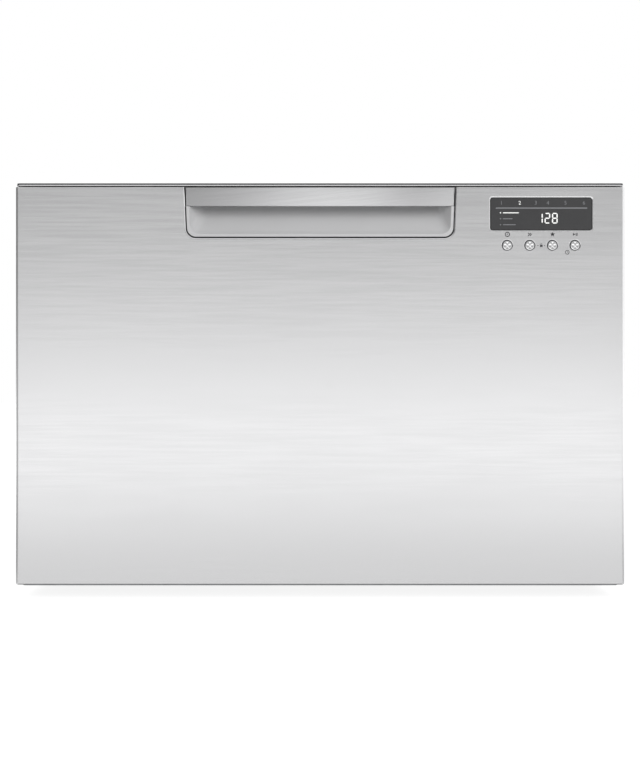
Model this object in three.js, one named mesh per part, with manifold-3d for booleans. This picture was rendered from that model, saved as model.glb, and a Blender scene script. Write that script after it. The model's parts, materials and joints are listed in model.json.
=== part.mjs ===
// A built-in dishwasher drawer: one wash tub on telescopic runners in a sheet-metal chassis, closed by a
// brushed steel front panel with a scooped handle recess, a small display and four push buttons.
// Millimetres, +Z up. The origin is on the floor under the middle of the appliance. The panel faces -Y.
import * as THREE from "three";
import { mergeVertices } from "three/addons/utils/BufferGeometryUtils.js";
import Module from "manifold-3d";

const wasm = await Module();
wasm.setup();

// -----------------------------------------------------------------------------
// Driving dimensions
// -----------------------------------------------------------------------------
const fit = 0.3; // gap between two pieces that rest on each other

// Front panel
const panelWidth = 599;
const panelHeight = 395;
const panelThickness = 20;
const overallDepth = 573; // front of the panel to the back of the chassis
const floorToPanel = 14;
const skinSheet = 1;
const skinEdgeRadius = 3;
const skinSetback = 2; // back of the frame to the edge of the skin's returns
const stripHeight = 1.3; // rubber strip along the top edge
const stripSetback = 1.2;
const trimHeight = 2.4;
const trimInset = 1;
const trimGap = 0.7; // dark line between the top trim and the steel skin
const frameWall = 3;
const frameRib = 2;
const frameRibHeight = 5;
const frameRibCount = 4;
const frameRibPitch = 133;
const frameRibTop = 70; // foot of the recess to the top of the ribs
const mountPostRadius = 9;
const mountPostInset = 40; // edges of the tub to the posts that hold the panel on it

// Handle recess
const recessSideGap = 166.3; // side of the panel to the mouth of the recess
const recessLean = 2; // how far each side of the recess draws in towards its foot
const recessDrop = 53.4; // top of the panel to the foot of the recess
const recessCorner = 9.3;
const recessGap = 0.7; // dark line between the skin and the scoop
const scoopDepth = 24;
const scoopWall = 2.3;
const scoopFade = 15; // how far the ends of the scoop draw in towards its back
const scoopRise = 16; // how much further its floor climbs
const scoopFlange = 4;
const scoopFlangeThickness = 2;
const barHeight = 17.7;
const barThickness = 6;

// Display and buttons
const controlsSideGap = 82.2; // side of the panel to the middle of the display and of the buttons
const windowWidth = 99.6;
const windowHeight = 31.6;
const windowCorner = 2.3;
const windowDrop = 30.3; // top of the panel to the middle of the window
const windowLip = 3;
const windowThickness = 2;
const buttonCount = 4;
const buttonPitch = 22.2;
const buttonDrop = 61.3; // top of the panel to the middle of the buttons
const buttonRadius = 4.65;
const buttonHoleRadius = 5.6;
const buttonFlange = 6.6;
const buttonFlangeThickness = 1.2;
const buttonStem = 2;
const buttonTravel = 1;
const boardThickness = 1.6;
const boardMargin = 7;
const boardPost = 3; // height of the posts that hold the board off the frame
const boardPostRadius = 2.5;
const switchHeight = 3.5;
const switchSize = 6;

// Chassis
const chassisInset = 2.5; // the chassis is this much narrower than the panel on each side
const chassisDrop = 3; // and this much lower
const chassisSheet = 1.2;
const floorToChassis = 10;
const doorGap = 2.5; // panel to chassis
const baseFlange = 22;
const baseFrontFlange = 9;
const topFlange = 15;
const frontReturn = 10;

// Levelling feet
const footSideInset = 42; // chassis side to the middle of a foot
const footFrontInset = 99;
const footRearInset = 41.5;
const footPadRadius = 18;
const footPadThickness = 6;
const footNutRadius = 9;
const footStemRadius = 5;
const footStemClearance = 0.4;
const footTravel = 45;
const footSleeveWall = 4;
const footSleeveHeight = 15;

// Runners
const railCentreZ = 99;
const railHeight = 46;
const railRearGap = 38.5; // rear ends of the members to the back of the chassis
const railSheet = 1.4;
const railLip = 4;
const railPlay = 0.8; // sideways play between two members
const ballGap = 2.4; // room for the balls above and below a member
const railReach = 11; // how deep the fixed member is
const railSetback = 2; // chassis front to the front end of the members
const bracketEndGap = 14;

// Tub
const tubSideGap = 35; // side of the chassis to the tub
const tubFrontGap = 20.5; // back of the panel to the front wall of the tub
const tubRearGap = 50.5; // rear wall of the tub to the back of the chassis
const tubWall = 3;
const tubCorner = 38;
const tubFloorRise = 54.8; // base pan to the underside of the tub
const rimWidth = 6;
const rimThickness = 4;
const sumpRadius = 84;
const sumpDepth = 20;
const wellX = 118;
const wellY = -90; // from the middle of the tub
const wellRadius = 30;

// Lid
const lidHeadroom = 5.8; // lid to the chassis top
const lidHeight = 17;
const lidSheet = 3;
const lidOverhang = 4; // past the rim of the tub
const lidRibThickness = 3;
const lidRibHeight = 4;
const sealWidth = 7;
const sealHeight = 3.7;
const lidTravel = 5.7;
const lidRodRadius = 4;
const lidRodLength = 62;
const actuatorLength = 70;
const actuatorHeight = 56;
const actuatorDrop = 36; // lid underside to the top of an actuator

// Wash system
const spindleRadius = 4;
const spindleRise = 1; // spindle above the hub of the spray arm
const housingRadius = 54;
const housingSheet = 2;
const rotorRadius = 49;
const rotorThickness = 9;
const rotorHubRadius = 9;
const bladeCount = 6;
const shaftClearance = 0.3;
const statorRadius = 56;
const statorBore = 20;
const statorHeight = 21;
const heaterInner = 60;
const heaterOuter = 72;
const heaterHeight = 7;
const filterThickness = 2;
const filterMargin = 16; // tub wall to the edge of the filter plate
const filterHubHole = 22;
const drainCupRadius = 24.5;
const drainCupWall = 2;
const drainHandleHeight = 6;
const drainHandleWidth = 4;
const drainRim = 3.5; // rim of the cup past its wall
const sprayRadius = 204;
const sprayTipWidth = 30;
const sprayRootWidth = 44;
const sprayHubRadius = 24;
const sprayHubLip = 3; // hub below the blades
const sprayThickness = 10;
const sprayLift = 14; // underside of the tub to the foot of the spray arm

// Racks
const wire = 4;
const thinWire = 3.6;
const rackMargin = 13; // tub wall to the rack
const rackFloorRise = 34; // underside of the tub to the rack's lowest wire
const rackEndHeight = 75;
const rackLegInset = 20;
const crossWireCount = 9;
const crossWirePitch = 50;
const longWireCount = 8;
const longWirePitch = 55;
const weld = 0.5; // how far two welded wires sink into each other
const clipSize = 9;
const clipClearance = 0.4;
const tineRowPitch = 110;
const tineRowCount = 4;
const tineHeight = 70;
const tinePitch = 27;
const tineCount = 12;
const cupRackDepth = 105;
const cupRackRibs = 8;
const cupRackHeadroom = 13; // folded-up cup rack to the rim of the tub

// Cutlery basket
const basketWidth = 220;
const basketDepth = 56;
const basketHeight = 106;
const basketWall = 2;
const basketHandleSpan = 50;
const basketHandleRise = 28;
const basketHandleBar = 6;
const basketHandleRoot = 20; // how far the handle's posts run down into the basket

// Detergent dispenser, in the front wall of the tub
const dispenserX = 40;
const dispenserWidth = 146;
const dispenserHeight = 86;
const dispenserDrop = 62; // rim of the tub to the top of the dispenser
const dispenserFlange = 3.7;
const dispenserDepth = 16; // how far it reaches into the door, past the tub wall
const cupWidth = 60;
const cupHeight = 60;
const cupMargin = 14;
const flapThickness = 2.5;
const flapLip = 2; // flap past the edge of the cup
const flapBarrel = 2.4;
const flapPin = 1.4;
const flapLug = 4;
const rinseCapRadius = 16;
const rinseCapHeight = 6;

// Drying fan, between the tub and the front panel
const fanSideInset = 92; // left side of the tub to the middle of the fan
const fanZ = 215;
const fanRadius = 34;
const fanWall = 2.5;
const fanInletRadius = 14;
const fanRotorRadius = 27;
const fanBladeCount = 7;
const fanShaftRadius = 2;

// Boxes in and under the chassis
const controllerWidth = 110;
const controllerLength = 130;
const controllerHeight = 32;
const controllerX = -145;
const controllerY = -160;
const valveInset = 72; // left side of the chassis to the middle of the inlet valve
const valveWidth = 46;
const valveHeight = 52;
const coilRadius = 13;
const coilHeight = 24;
const drainInset = 72; // right side of the chassis to the middle of the drain outlet
const drainWidth = 40;
const drainHeight = 36;
const mainsGap = 75; // drain outlet to mains box, middle to middle
const mainsWidth = 64;
const mainsHeight = 48;
const servicesZ = 66; // middle height of the rear connections
const serviceDepth = 36;
const valveThreadRadius = 12;
const valveBore = 7;
const drainSpigotRadius = 11;
const drainBore = 8.5;
const glandRadius = 9;
const connectionGap = 0.5; // rear panel to a connection that passes through it

// -----------------------------------------------------------------------------
// Places worked out from them
// -----------------------------------------------------------------------------
const panelTop = floorToPanel + panelHeight;
const yFront = -overallDepth / 2;
const yRear = overallDepth / 2;
const skinBack = yFront + skinSheet;
const panelBack = yFront + panelThickness;
const trimTop = panelTop - stripHeight;
const trimUnder = trimTop - trimHeight;
const skinTop = trimUnder - trimGap;
const recessTopHalf = panelWidth / 2 - recessSideGap;
const recessBottomHalf = recessTopHalf - recessLean;
const controlsX = panelWidth / 2 - controlsSideGap;

const chassisFront = panelBack + doorGap;
const chassisHalf = panelWidth / 2 - chassisInset;
const chassisTop = panelTop - chassisDrop;
const chassisBottom = floorToChassis;
const baseTop = chassisBottom + chassisSheet;
const sideInner = chassisHalf - chassisSheet;
const rearInner = yRear - chassisSheet;
const footX = chassisHalf - footSideInset;
const footFrontY = chassisFront + footFrontInset;
const footRearY = yRear - footRearInset;

const tubHalf = chassisHalf - tubSideGap;
const tubFront = panelBack + tubFrontGap;
const tubRear = yRear - tubRearGap;
const tubMiddle = (tubFront + tubRear) / 2;
const tubUnder = baseTop + tubFloorRise;
const tubFloor = tubUnder + tubWall;
const lidTop = chassisTop - chassisSheet - lidHeadroom;
const lidUnder = lidTop - lidHeight;
const sealUnder = lidUnder - fit - sealHeight;
const tubRim = sealUnder - lidTravel - fit;
const sumpUnder = tubUnder - sumpDepth;
const sumpFloor = sumpUnder + tubWall;
const fanX = fanSideInset - tubHalf;
const valveX = valveInset - chassisHalf;
const drainX = chassisHalf - drainInset;
const mainsX = drainX - mainsGap;

const rackHalfX = tubHalf - tubWall - rackMargin;
const rackHalfY = (tubRear - tubFront) / 2 - tubWall - rackMargin;
const rackFloor = tubUnder + rackFloorRise; // underside of the cross wires
const longWireZ = rackFloor + wire - weld; // underside of the long wires, which lie on the cross wires
const rackTopOfWires = longWireZ + wire;
const firstCrossWire = (-crossWirePitch * (crossWireCount - 1)) / 2;
const rodRadius = wire / 2;
const tinePivotZ = rackTopOfWires + rodRadius + 2;
const cupPivotX = rackHalfX - wire - 8;
const cupPivotZ = tubRim - cupRackHeadroom - cupRackDepth - wire;
const rackSideTop = cupPivotZ + clipSize / 2 + wire;
// The front hinge clips hold on to the first cross wire, the rear ones to the last but one.
const hingeFront = firstCrossWire;
const hingeRear = firstCrossWire + crossWirePitch * (crossWireCount - 2);

// -----------------------------------------------------------------------------
// Shapes and solids
// -----------------------------------------------------------------------------

/** Turns a closed three.js geometry into a solid that can be joined and cut. */
function solidOf(geometry) {
  const bare = new THREE.BufferGeometry().setAttribute("position", geometry.getAttribute("position"));
  if (geometry.index) bare.setIndex(geometry.index);
  const merged = mergeVertices(bare, 1e-4);
  return new wasm.Manifold(
    new wasm.Mesh({
      numProp: 3,
      vertProperties: merged.getAttribute("position").array,
      triVerts: new Uint32Array(merged.index.array),
    }),
  );
}

/** Turns a solid back into a three.js geometry with flat faces. */
function geometryOf(solid) {
  const mesh = solid.getMesh();
  const geometry = new THREE.BufferGeometry();
  geometry.setAttribute("position", new THREE.BufferAttribute(new Float32Array(mesh.vertProperties), 3));
  geometry.setIndex(new THREE.BufferAttribute(new Uint32Array(mesh.triVerts), 1));
  const flat = geometry.toNonIndexed();
  flat.computeVertexNormals();
  return flat;
}

const join = (...solids) => solids.reduce((whole, next) => whole.add(next));
const cut = (whole, ...tools) => tools.reduce((rest, tool) => rest.subtract(tool), whole);

/** A box between two values on each axis. */
function block([x0, x1], [y0, y1], [z0, z1]) {
  const geometry = new THREE.BoxGeometry(x1 - x0, y1 - y0, z1 - z0);
  geometry.translate((x0 + x1) / 2, (y0 + y1) / 2, (z0 + z1) / 2);
  return solidOf(geometry);
}

const axisX = new THREE.Vector3(1, 0, 0);
const axisY = new THREE.Vector3(0, 1, 0);
const axisZ = new THREE.Vector3(0, 0, 1);
// How an outline drawn in (u, v) stands in space: it is (y, z) along X, (x, z) along Y and (x, y) along Z.
const standing = {
  x: new THREE.Matrix4().makeBasis(axisY, axisZ, axisX),
  y: new THREE.Matrix4().makeBasis(axisX, axisZ, axisY.clone().negate()),
  z: new THREE.Matrix4(),
};

/** Pushes an outline along one axis, from one value to another. */
function extrude(shape, axis, from, to, curveSegments = 3) {
  const depth = to - from;
  const geometry = new THREE.ExtrudeGeometry(shape, { depth, bevelEnabled: false, curveSegments });
  geometry.applyMatrix4(standing[axis]);
  if (axis === "x") geometry.translate(from, 0, 0);
  if (axis === "y") geometry.translate(0, to, 0);
  if (axis === "z") geometry.translate(0, 0, from);
  return solidOf(geometry);
}

/** A closed outline through a list of points. */
const outline = (points) => new THREE.Shape(points.map(([u, v]) => new THREE.Vector2(u, v)));

/** A regular polygon that stands for a circle. */
function ngon(radius, sides, u = 0, v = 0) {
  const corner = (k) => (2 * Math.PI * (k + 0.5)) / sides;
  const at = (k) => [u + radius * Math.cos(corner(k)), v + radius * Math.sin(corner(k))];
  return outline(Array.from({ length: sides }, (_, k) => at(k)));
}

/** A round bar along one axis; u and v are its place on the other two. */
function bar(axis, radius, from, to, u, v, sides = 16) {
  return extrude(ngon(radius, sides, u, v), axis, from, to);
}

/** A rectangle with round corners. */
function roundedRect(u0, u1, v0, v1, radius) {
  const shape = new THREE.Shape();
  shape.absarc(u1 - radius, v0 + radius, radius, -Math.PI / 2, 0);
  shape.absarc(u1 - radius, v1 - radius, radius, 0, Math.PI / 2);
  shape.absarc(u0 + radius, v1 - radius, radius, Math.PI / 2, Math.PI);
  shape.absarc(u0 + radius, v0 + radius, radius, Math.PI, 1.5 * Math.PI);
  return shape;
}

/** A closed solid through rings of points, each with as many points as the next, capped at both ends. */
function loft(rings) {
  const count = rings[0].length;
  const positions = rings.flat(2);
  const index = [];
  for (let r = 0; r + 1 < rings.length; r++) {
    for (let k = 0; k < count; k++) {
      const a = r * count + k;
      const b = r * count + ((k + 1) % count);
      index.push(a, b, b + count, a, b + count, a + count);
    }
  }
  const last = (rings.length - 1) * count;
  for (let k = 1; k + 1 < count; k++) {
    index.push(0, k + 1, k);
    index.push(last, last + k, last + k + 1);
  }
  const geometry = new THREE.BufferGeometry();
  geometry.setAttribute("position", new THREE.Float32BufferAttribute(positions, 3));
  geometry.setIndex(index);
  return solidOf(geometry);
}

function paint(color, roughness, metalness = 0) {
  return new THREE.MeshStandardMaterial({ color, roughness, metalness });
}

const finishes = {
  brushedSteel: paint(0xc9c9c8, 0.35, 1),
  satinTrim: paint(0xbdbdbc, 0.4, 1),
  silverPlastic: paint(0xb4b4b3, 0.5),
  darkGlass: paint(0x48484a, 0.15),
  charcoalPlastic: paint(0x4a4c4e, 0.6),
  zincSheet: paint(0xa6aaac, 0.45, 1),
  greyTub: paint(0xb9bdc0, 0.55),
  paleLid: paint(0xd5d7d8, 0.5),
  coatedWire: paint(0x8d949a, 0.5),
  rubber: paint(0x2b2c2e, 0.8),
  blackPlastic: paint(0x222325, 0.55),
  circuitGreen: paint(0x2f5e45, 0.5),
  copperCoil: paint(0x9c5a35, 0.5, 1),
  stainlessPlate: paint(0xa9abac, 0.3, 1),
  whitePlastic: paint(0xe6e7e6, 0.5),
};

/** A named piece, ready to be placed in a group. */
function piece(name, solid, material, place = [0, 0, 0]) {
  const mesh = new THREE.Mesh(geometryOf(solid), material);
  mesh.name = name;
  mesh.position.set(...place);
  return mesh;
}

/** Builds the right-hand side, and again mirrored across the middle of the appliance for the left. */
function bothSides(build) {
  return ["right", "left"].map((side) => {
    const group = new THREE.Group();
    group.add(...build(side));
    group.scale.x = side === "right" ? 1 : -1;
    return group;
  });
}

// -----------------------------------------------------------------------------
// Front panel
// -----------------------------------------------------------------------------

/** The handle recess as a ring of points at depth y: straight top, leaning sides, round lower corners. */
function recessRing(y, inset, top, rise = 0) {
  const foot = panelTop - recessDrop;
  const bottom = foot + inset + rise;
  const lean = recessLean / (skinTop - foot);
  const radius = Math.max(recessCorner - inset, 3 * scoopWall);
  const halfAt = (z) => recessBottomHalf - inset + lean * (z - foot);
  const steps = 5;
  const points = [];
  for (let k = 0; k <= steps; k++) {
    const angle = -Math.PI / 2 + (Math.PI / 2) * (k / steps);
    const z = bottom + radius + radius * Math.sin(angle);
    points.push([halfAt(bottom + radius) - radius + radius * Math.cos(angle), y, z]);
  }
  points.push([halfAt(top), y, top]);
  return [...points, ...points.map(([x, , z]) => [-x, y, z]).reverse()];
}

/** The recess as one straight-sided plug between two depths. */
function recessPlug(inset, top, from, to) {
  return loft([recessRing(to, inset, top), recessRing(from, inset, top)]);
}

/** The scooped shape: straight back at its rim, then rounding off to its back, most of all its floor. */
function scoopShape(inset, top, backY) {
  const depth = backY - yFront;
  const shares = [1, 0.97, 0.88, 0.74, 0.55, 0.3, 0];
  const rings = shares.map((share) => {
    const round = 1 - Math.sqrt(1 - share * share);
    return recessRing(yFront + depth * share, inset + scoopFade * round, top, scoopRise * round);
  });
  return loft(rings);
}

/** Evenly spaced places about a middle. */
function spread(count, pitch, middle = 0) {
  return Array.from({ length: count }, (_, k) => middle + (k - (count - 1) / 2) * pitch);
}

const buttonPlaces = spread(buttonCount, buttonPitch, controlsX);
const windowZ = panelTop - windowDrop;
const buttonZ = panelTop - buttonDrop;
const boardBack = panelBack - frameWall - boardPost;
const boardFront = boardBack - boardThickness;
const switchFront = boardFront - switchHeight;
const windowSpan = (grow) => [
  controlsX - windowWidth / 2 - grow,
  controlsX + windowWidth / 2 + grow,
  windowZ - windowHeight / 2 - grow,
  windowZ + windowHeight / 2 + grow,
];

function frontSkin() {
  const half = panelWidth / 2;
  const backY = panelBack - skinSetback;
  const inner = skinEdgeRadius - skinSheet;
  const [turnX, turnY] = [half - skinEdgeRadius, yFront + skinEdgeRadius]; // where the edges' arcs centre
  const profile = new THREE.Shape();
  profile.moveTo(-half, backY);
  profile.absarc(-turnX, turnY, skinEdgeRadius, Math.PI, 1.5 * Math.PI);
  profile.absarc(turnX, turnY, skinEdgeRadius, 1.5 * Math.PI, 2 * Math.PI);
  profile.lineTo(half, backY);
  profile.lineTo(half - skinSheet, backY);
  profile.absarc(turnX, turnY, inner, 0, -Math.PI / 2, true);
  profile.absarc(-turnX, turnY, inner, -Math.PI / 2, -Math.PI, true);
  profile.lineTo(-half + skinSheet, backY);
  const tray = extrude(profile, "z", floorToPanel, skinTop);
  const foot = block(
    [-half + skinSheet / 2, half - skinSheet / 2],
    [yFront + skinSheet / 2, backY],
    [floorToPanel, floorToPanel + skinSheet],
  );
  const [before, behind] = [yFront - 1, skinBack + 1];
  const holes = buttonPlaces.map((x) => bar("y", buttonHoleRadius, before, behind, x, buttonZ, 20));
  const windowHole = extrude(roundedRect(...windowSpan(0), windowCorner), "y", before, behind);
  return cut(join(tray, foot), recessPlug(0, skinTop + 5, before, behind), windowHole, ...holes);
}

const trimHalf = panelWidth / 2 - trimInset;
const topTrim = () => block([-trimHalf, trimHalf], [yFront, panelBack], [trimUnder, trimTop]);

/** The rubber strip on the trim, with a sloping front edge. */
function edgeStrip() {
  const front = yFront + stripSetback;
  const profile = outline([
    [front, trimTop],
    [panelBack, trimTop],
    [panelBack, panelTop],
    [front + stripHeight / 2, panelTop],
  ]);
  return extrude(profile, "x", -trimHalf, trimHalf);
}

const mountPosts = [-1, 1].flatMap((side) =>
  [tubUnder + mountPostInset, tubRim - mountPostInset].map((z) => [side * (tubHalf - mountPostInset), z]),
);
const scoopBack = yFront + scoopDepth;

/** The moulded tray behind the skin: rim, back plate, ribs, and posts for the tub and the display board. */
function frontFrame() {
  const half = panelWidth / 2 - skinSheet - fit;
  const bottom = floorToPanel + skinSheet + fit;
  const top = trimUnder - fit;
  const front = skinBack + fit;
  const plan = outline([
    [-half, panelBack],
    [-half, front + skinEdgeRadius],
    [-half + skinEdgeRadius, front],
    [half - skinEdgeRadius, front],
    [half, front + skinEdgeRadius],
    [half, panelBack],
  ]);
  const plateFront = panelBack - frameWall;
  const hollow = block(
    [-half + frameWall, half - frameWall],
    [front - 1, plateFront],
    [bottom + frameWall, top - frameWall],
  );
  const shell = cut(extrude(plan, "z", bottom, top), hollow);
  const ribs = spread(frameRibCount, frameRibPitch).map((x) =>
    block(
      [x - frameRib / 2, x + frameRib / 2],
      [plateFront - frameRibHeight, plateFront + 1],
      [bottom + 1, panelTop - recessDrop - frameRibTop],
    ),
  );
  const posts = mountPosts.map(([x, z]) =>
    bar("y", mountPostRadius, panelBack - 1, tubFront - fit, x, z),
  );
  const boardPosts = spread(2, windowWidth, controlsX).flatMap((x) =>
    [windowZ + windowHeight / 2, buttonZ].map((z) =>
      bar("y", boardPostRadius, boardBack + fit, panelBack - 1, x, z, 8),
    ),
  );
  const room = recessPlug(recessGap - scoopFlange - fit, top + 1, front - 1, panelBack + 1);
  const fanMouth = bar("y", fanInletRadius, panelBack - frameWall - 1, panelBack + 1, fanX, fanZ, 16);
  return cut(join(shell, ...ribs, ...posts, ...boardPosts), room, fanMouth);
}

const barTop = skinTop;
const barBottom = barTop - barHeight;
const barRoom = (grow) =>
  recessPlug(recessGap - grow, barTop + grow, yFront - grow, yFront + barThickness + grow).intersect(
    block([-panelWidth, panelWidth], [yFront - 1, panelBack], [barBottom - grow, barTop + grow]),
  );

const handleBar = () => barRoom(0);

/** The scoop: a rounded shell with a flange behind the skin, cut away where the bar crosses its mouth. */
function handleScoop() {
  const top = skinTop - 1;
  const flangeFront = skinBack + fit;
  const flange = recessPlug(recessGap - scoopFlange, top, flangeFront, flangeFront + scoopFlangeThickness);
  return cut(
    join(scoopShape(recessGap, top, scoopBack), flange),
    scoopShape(recessGap + scoopWall, top - scoopWall, scoopBack - scoopWall),
    recessPlug(recessGap + scoopWall, top - scoopWall, yFront - 1, yFront + 0.01),
    barRoom(fit),
  );
}

function displayWindow() {
  const seat = skinBack + fit;
  const glass = extrude(roundedRect(...windowSpan(-fit), windowCorner), "y", yFront + fit, seat + 1);
  const lipShape = roundedRect(...windowSpan(windowLip), windowCorner);
  const lip = extrude(lipShape, "y", seat, seat + windowThickness);
  return join(glass, lip);
}

function displayBoard() {
  const left = controlsX - windowWidth / 2 - boardMargin;
  const right = controlsX + windowWidth / 2 + boardMargin;
  const plate = block(
    [left, right],
    [boardFront, boardBack],
    [buttonZ - boardMargin - 4, windowZ + windowHeight / 2 + boardMargin],
  );
  const readout = block(
    [controlsX - windowWidth / 2, controlsX + windowWidth / 2],
    [skinBack + 2 * fit + windowThickness, boardFront + 0.5],
    [windowZ - windowHeight / 2 + 1, windowZ + windowHeight / 2 - 1],
  );
  const switches = buttonPlaces.map((x) =>
    block(
      [x - switchSize / 2, x + switchSize / 2],
      [switchFront, boardFront + 0.5],
      [buttonZ - switchSize / 2, buttonZ + switchSize / 2],
    ),
  );
  return join(plate, readout, ...switches);
}

/** A push button about its own axis: cap in the skin's hole, flange behind it, stem over its switch. */
function pushButton() {
  const flangeFront = skinBack + fit - yFront;
  const stemEnd = switchFront - fit - buttonTravel - yFront;
  return join(
    bar("y", buttonRadius, 0, flangeFront + 0.5, 0, 0, 20),
    bar("y", buttonFlange, flangeFront, flangeFront + buttonFlangeThickness, 0, 0, 20),
    bar("y", buttonStem, flangeFront + 0.5, stemEnd, 0, 0, 10),
  );
}

// -----------------------------------------------------------------------------
// Chassis
// -----------------------------------------------------------------------------
const railFront = chassisFront + railSetback;
const railRear = yRear - railRearGap;
const footPlaces = { front: footFrontY, rear: footRearY };

function sidePanel() {
  const plate = block(
    [sideInner, chassisHalf],
    [chassisFront, rearInner - fit],
    [chassisBottom, chassisTop],
  );
  const lip = block(
    [sideInner - frontReturn, sideInner + 0.5],
    [chassisFront, chassisFront + chassisSheet],
    [railCentreZ + railHeight / 2 + 6, chassisTop - chassisSheet - topFlange - 2],
  );
  return join(plate, lip);
}

function topPanel() {
  const half = sideInner - fit;
  const length = [chassisFront, rearInner - fit];
  const plate = block([-half, half], length, [chassisTop - chassisSheet, chassisTop]);
  const flanges = spread(2, 2 * half - chassisSheet).map((x) =>
    block(
      [x - chassisSheet / 2, x + chassisSheet / 2],
      length,
      [chassisTop - chassisSheet - topFlange, chassisTop - chassisSheet / 2],
    ),
  );
  return join(plate, ...flanges);
}

function basePan() {
  const half = sideInner - fit;
  const rear = rearInner - fit;
  const hollow = block(
    [-half + chassisSheet, half - chassisSheet],
    [chassisFront + chassisSheet, rear - chassisSheet],
    [baseTop, baseTop + baseFlange + 1],
  );
  const full = block([-half, half], [chassisFront, rear], [chassisBottom, baseTop + baseFlange]);
  const bore = footStemRadius + footStemClearance;
  const places = Object.values(footPlaces).flatMap((y) => [-footX, footX].map((x) => [x, y]));
  const sleeveTop = baseTop + footSleeveHeight;
  const sleeves = places.map(([x, y]) => bar("z", bore + footSleeveWall, chassisBottom, sleeveTop, x, y));
  const bores = places.map(([x, y]) => bar("z", bore, chassisBottom - 1, sleeveTop + 1, x, y, 12));
  const wayOut = block(
    [-half - 1, half + 1],
    [chassisFront - 1, chassisFront + chassisSheet + 0.5],
    [baseTop + baseFrontFlange, baseTop + baseFlange + 1],
  );
  return cut(join(cut(full, hollow), ...sleeves), wayOut, ...bores);
}

function rearPanel() {
  const plate = block([-chassisHalf, chassisHalf], [rearInner, yRear], [chassisBottom, chassisTop]);
  const openings = [
    bar("y", valveThreadRadius + connectionGap, rearInner - 1, yRear + 1, valveX, servicesZ, 20),
    bar("y", drainSpigotRadius + connectionGap, rearInner - 1, yRear + 1, drainX, servicesZ, 20),
    bar("y", glandRadius + connectionGap, rearInner - 1, yRear + 1, mainsX, servicesZ, 16),
  ];
  return cut(plate, ...openings);
}

function inletValve() {
  const back = rearInner - fit;
  const body = block(
    [valveX - valveWidth / 2, valveX + valveWidth / 2],
    [back - serviceDepth, back],
    [servicesZ - valveHeight / 2, servicesZ + valveHeight / 2],
  );
  const bodyTop = servicesZ + valveHeight / 2;
  const coil = bar("z", coilRadius, bodyTop - 1, bodyTop + coilHeight, valveX, back - serviceDepth / 2, 14);
  const thread = bar("y", valveThreadRadius, back - 1, yRear, valveX, servicesZ, 20);
  const bore = bar("y", valveBore, back - 14, yRear + 1, valveX, servicesZ, 14);
  return cut(join(body, coil, thread), bore);
}

function drainOutlet() {
  const back = rearInner - fit;
  const body = block(
    [drainX - drainWidth / 2, drainX + drainWidth / 2],
    [back - serviceDepth, back],
    [servicesZ - drainHeight / 2, servicesZ + drainHeight / 2],
  );
  const spigot = bar("y", drainSpigotRadius, back - 1, yRear, drainX, servicesZ, 20);
  const bore = bar("y", drainBore, back - 16, yRear + 1, drainX, servicesZ, 14);
  return cut(join(body, spigot), bore);
}

function mainsBox() {
  const back = rearInner - fit;
  const body = block(
    [mainsX - mainsWidth / 2, mainsX + mainsWidth / 2],
    [back - serviceDepth + 6, back],
    [servicesZ - mainsHeight / 2, servicesZ + mainsHeight / 2],
  );
  const gland = bar("y", glandRadius, back - 1, yRear, mainsX, servicesZ, 16);
  const bore = bar("y", glandRadius / 2, back - 12, yRear + 1, mainsX, servicesZ, 10);
  return cut(join(body, gland), bore);
}

/** A levelling foot about its own axis, standing on the floor. */
function levellingFoot() {
  const nutTop = chassisBottom - fit;
  const stemTop = baseTop + footTravel + 6;
  return join(
    bar("z", footPadRadius, 0, footPadThickness, 0, 0, 24),
    bar("z", footNutRadius, footPadThickness - 1, nutTop, 0, 0, 6),
    bar("z", footStemRadius, nutTop - 1, stemTop, 0, 0, 12),
  );
}

// -----------------------------------------------------------------------------
// Runners: three nested channels on each side, drawn for the right-hand side
// -----------------------------------------------------------------------------
const outerWebX = sideInner - fit;
const outerMouthX = outerWebX - railReach;
const middleWebX = outerWebX - railSheet - railPlay;
const middleMouthX = outerMouthX + railSheet + railPlay;
const middleHalfHeight = railHeight / 2 - railSheet - ballGap;
const innerHalfHeight = middleHalfHeight - railSheet - ballGap;
const innerWebX = outerMouthX - railSheet;
const innerMouthX = middleWebX - railSheet - railPlay;

/** A channel along Y. Its web is at webX, and its flanges run to mouthX, on whichever side that is. */
function channel(webX, mouthX, halfHeight, from, to) {
  const inward = Math.sign(mouthX - webX);
  const shape = outline(
    [
      [webX, -halfHeight],
      [mouthX, -halfHeight],
      [mouthX, -halfHeight + railSheet],
      [webX + inward * railSheet, -halfHeight + railSheet],
      [webX + inward * railSheet, halfHeight - railSheet],
      [mouthX, halfHeight - railSheet],
      [mouthX, halfHeight],
      [webX, halfHeight],
    ].map(([x, z]) => [x, z + railCentreZ]),
  );
  return extrude(shape, "y", from, to);
}

function outerRail() {
  const lipSpan = railSheet + railLip;
  const thickness = [outerMouthX, outerMouthX + railSheet];
  const lips = spread(2, railHeight - lipSpan, railCentreZ).map((z) =>
    block(thickness, [railFront, railRear], [z - lipSpan / 2, z + lipSpan / 2]),
  );
  return join(channel(outerWebX, outerMouthX, railHeight / 2, railFront, railRear), ...lips);
}

const middleRail = () => channel(middleWebX, middleMouthX, middleHalfHeight, railFront, railRear);
const innerRail = () => channel(innerWebX, innerMouthX, innerHalfHeight, railFront, railRear);

/** The hanger that carries the tub on the inner rail. */
function runnerBracket() {
  const railSide = innerWebX - fit;
  const tubSide = tubHalf + fit;
  const half = innerHalfHeight - 1;
  const from = tubFront + bracketEndGap;
  const to = tubRear - bracketEndGap;
  const foot = railCentreZ - half;
  return join(
    block([railSide - railSheet, railSide], [from, to], [foot, railCentreZ + half]),
    block([tubSide, tubSide + railSheet], [from, to], [foot, railCentreZ + half]),
    block([tubSide, railSide], [from, to], [foot, foot + railSheet]),
  );
}

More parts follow.
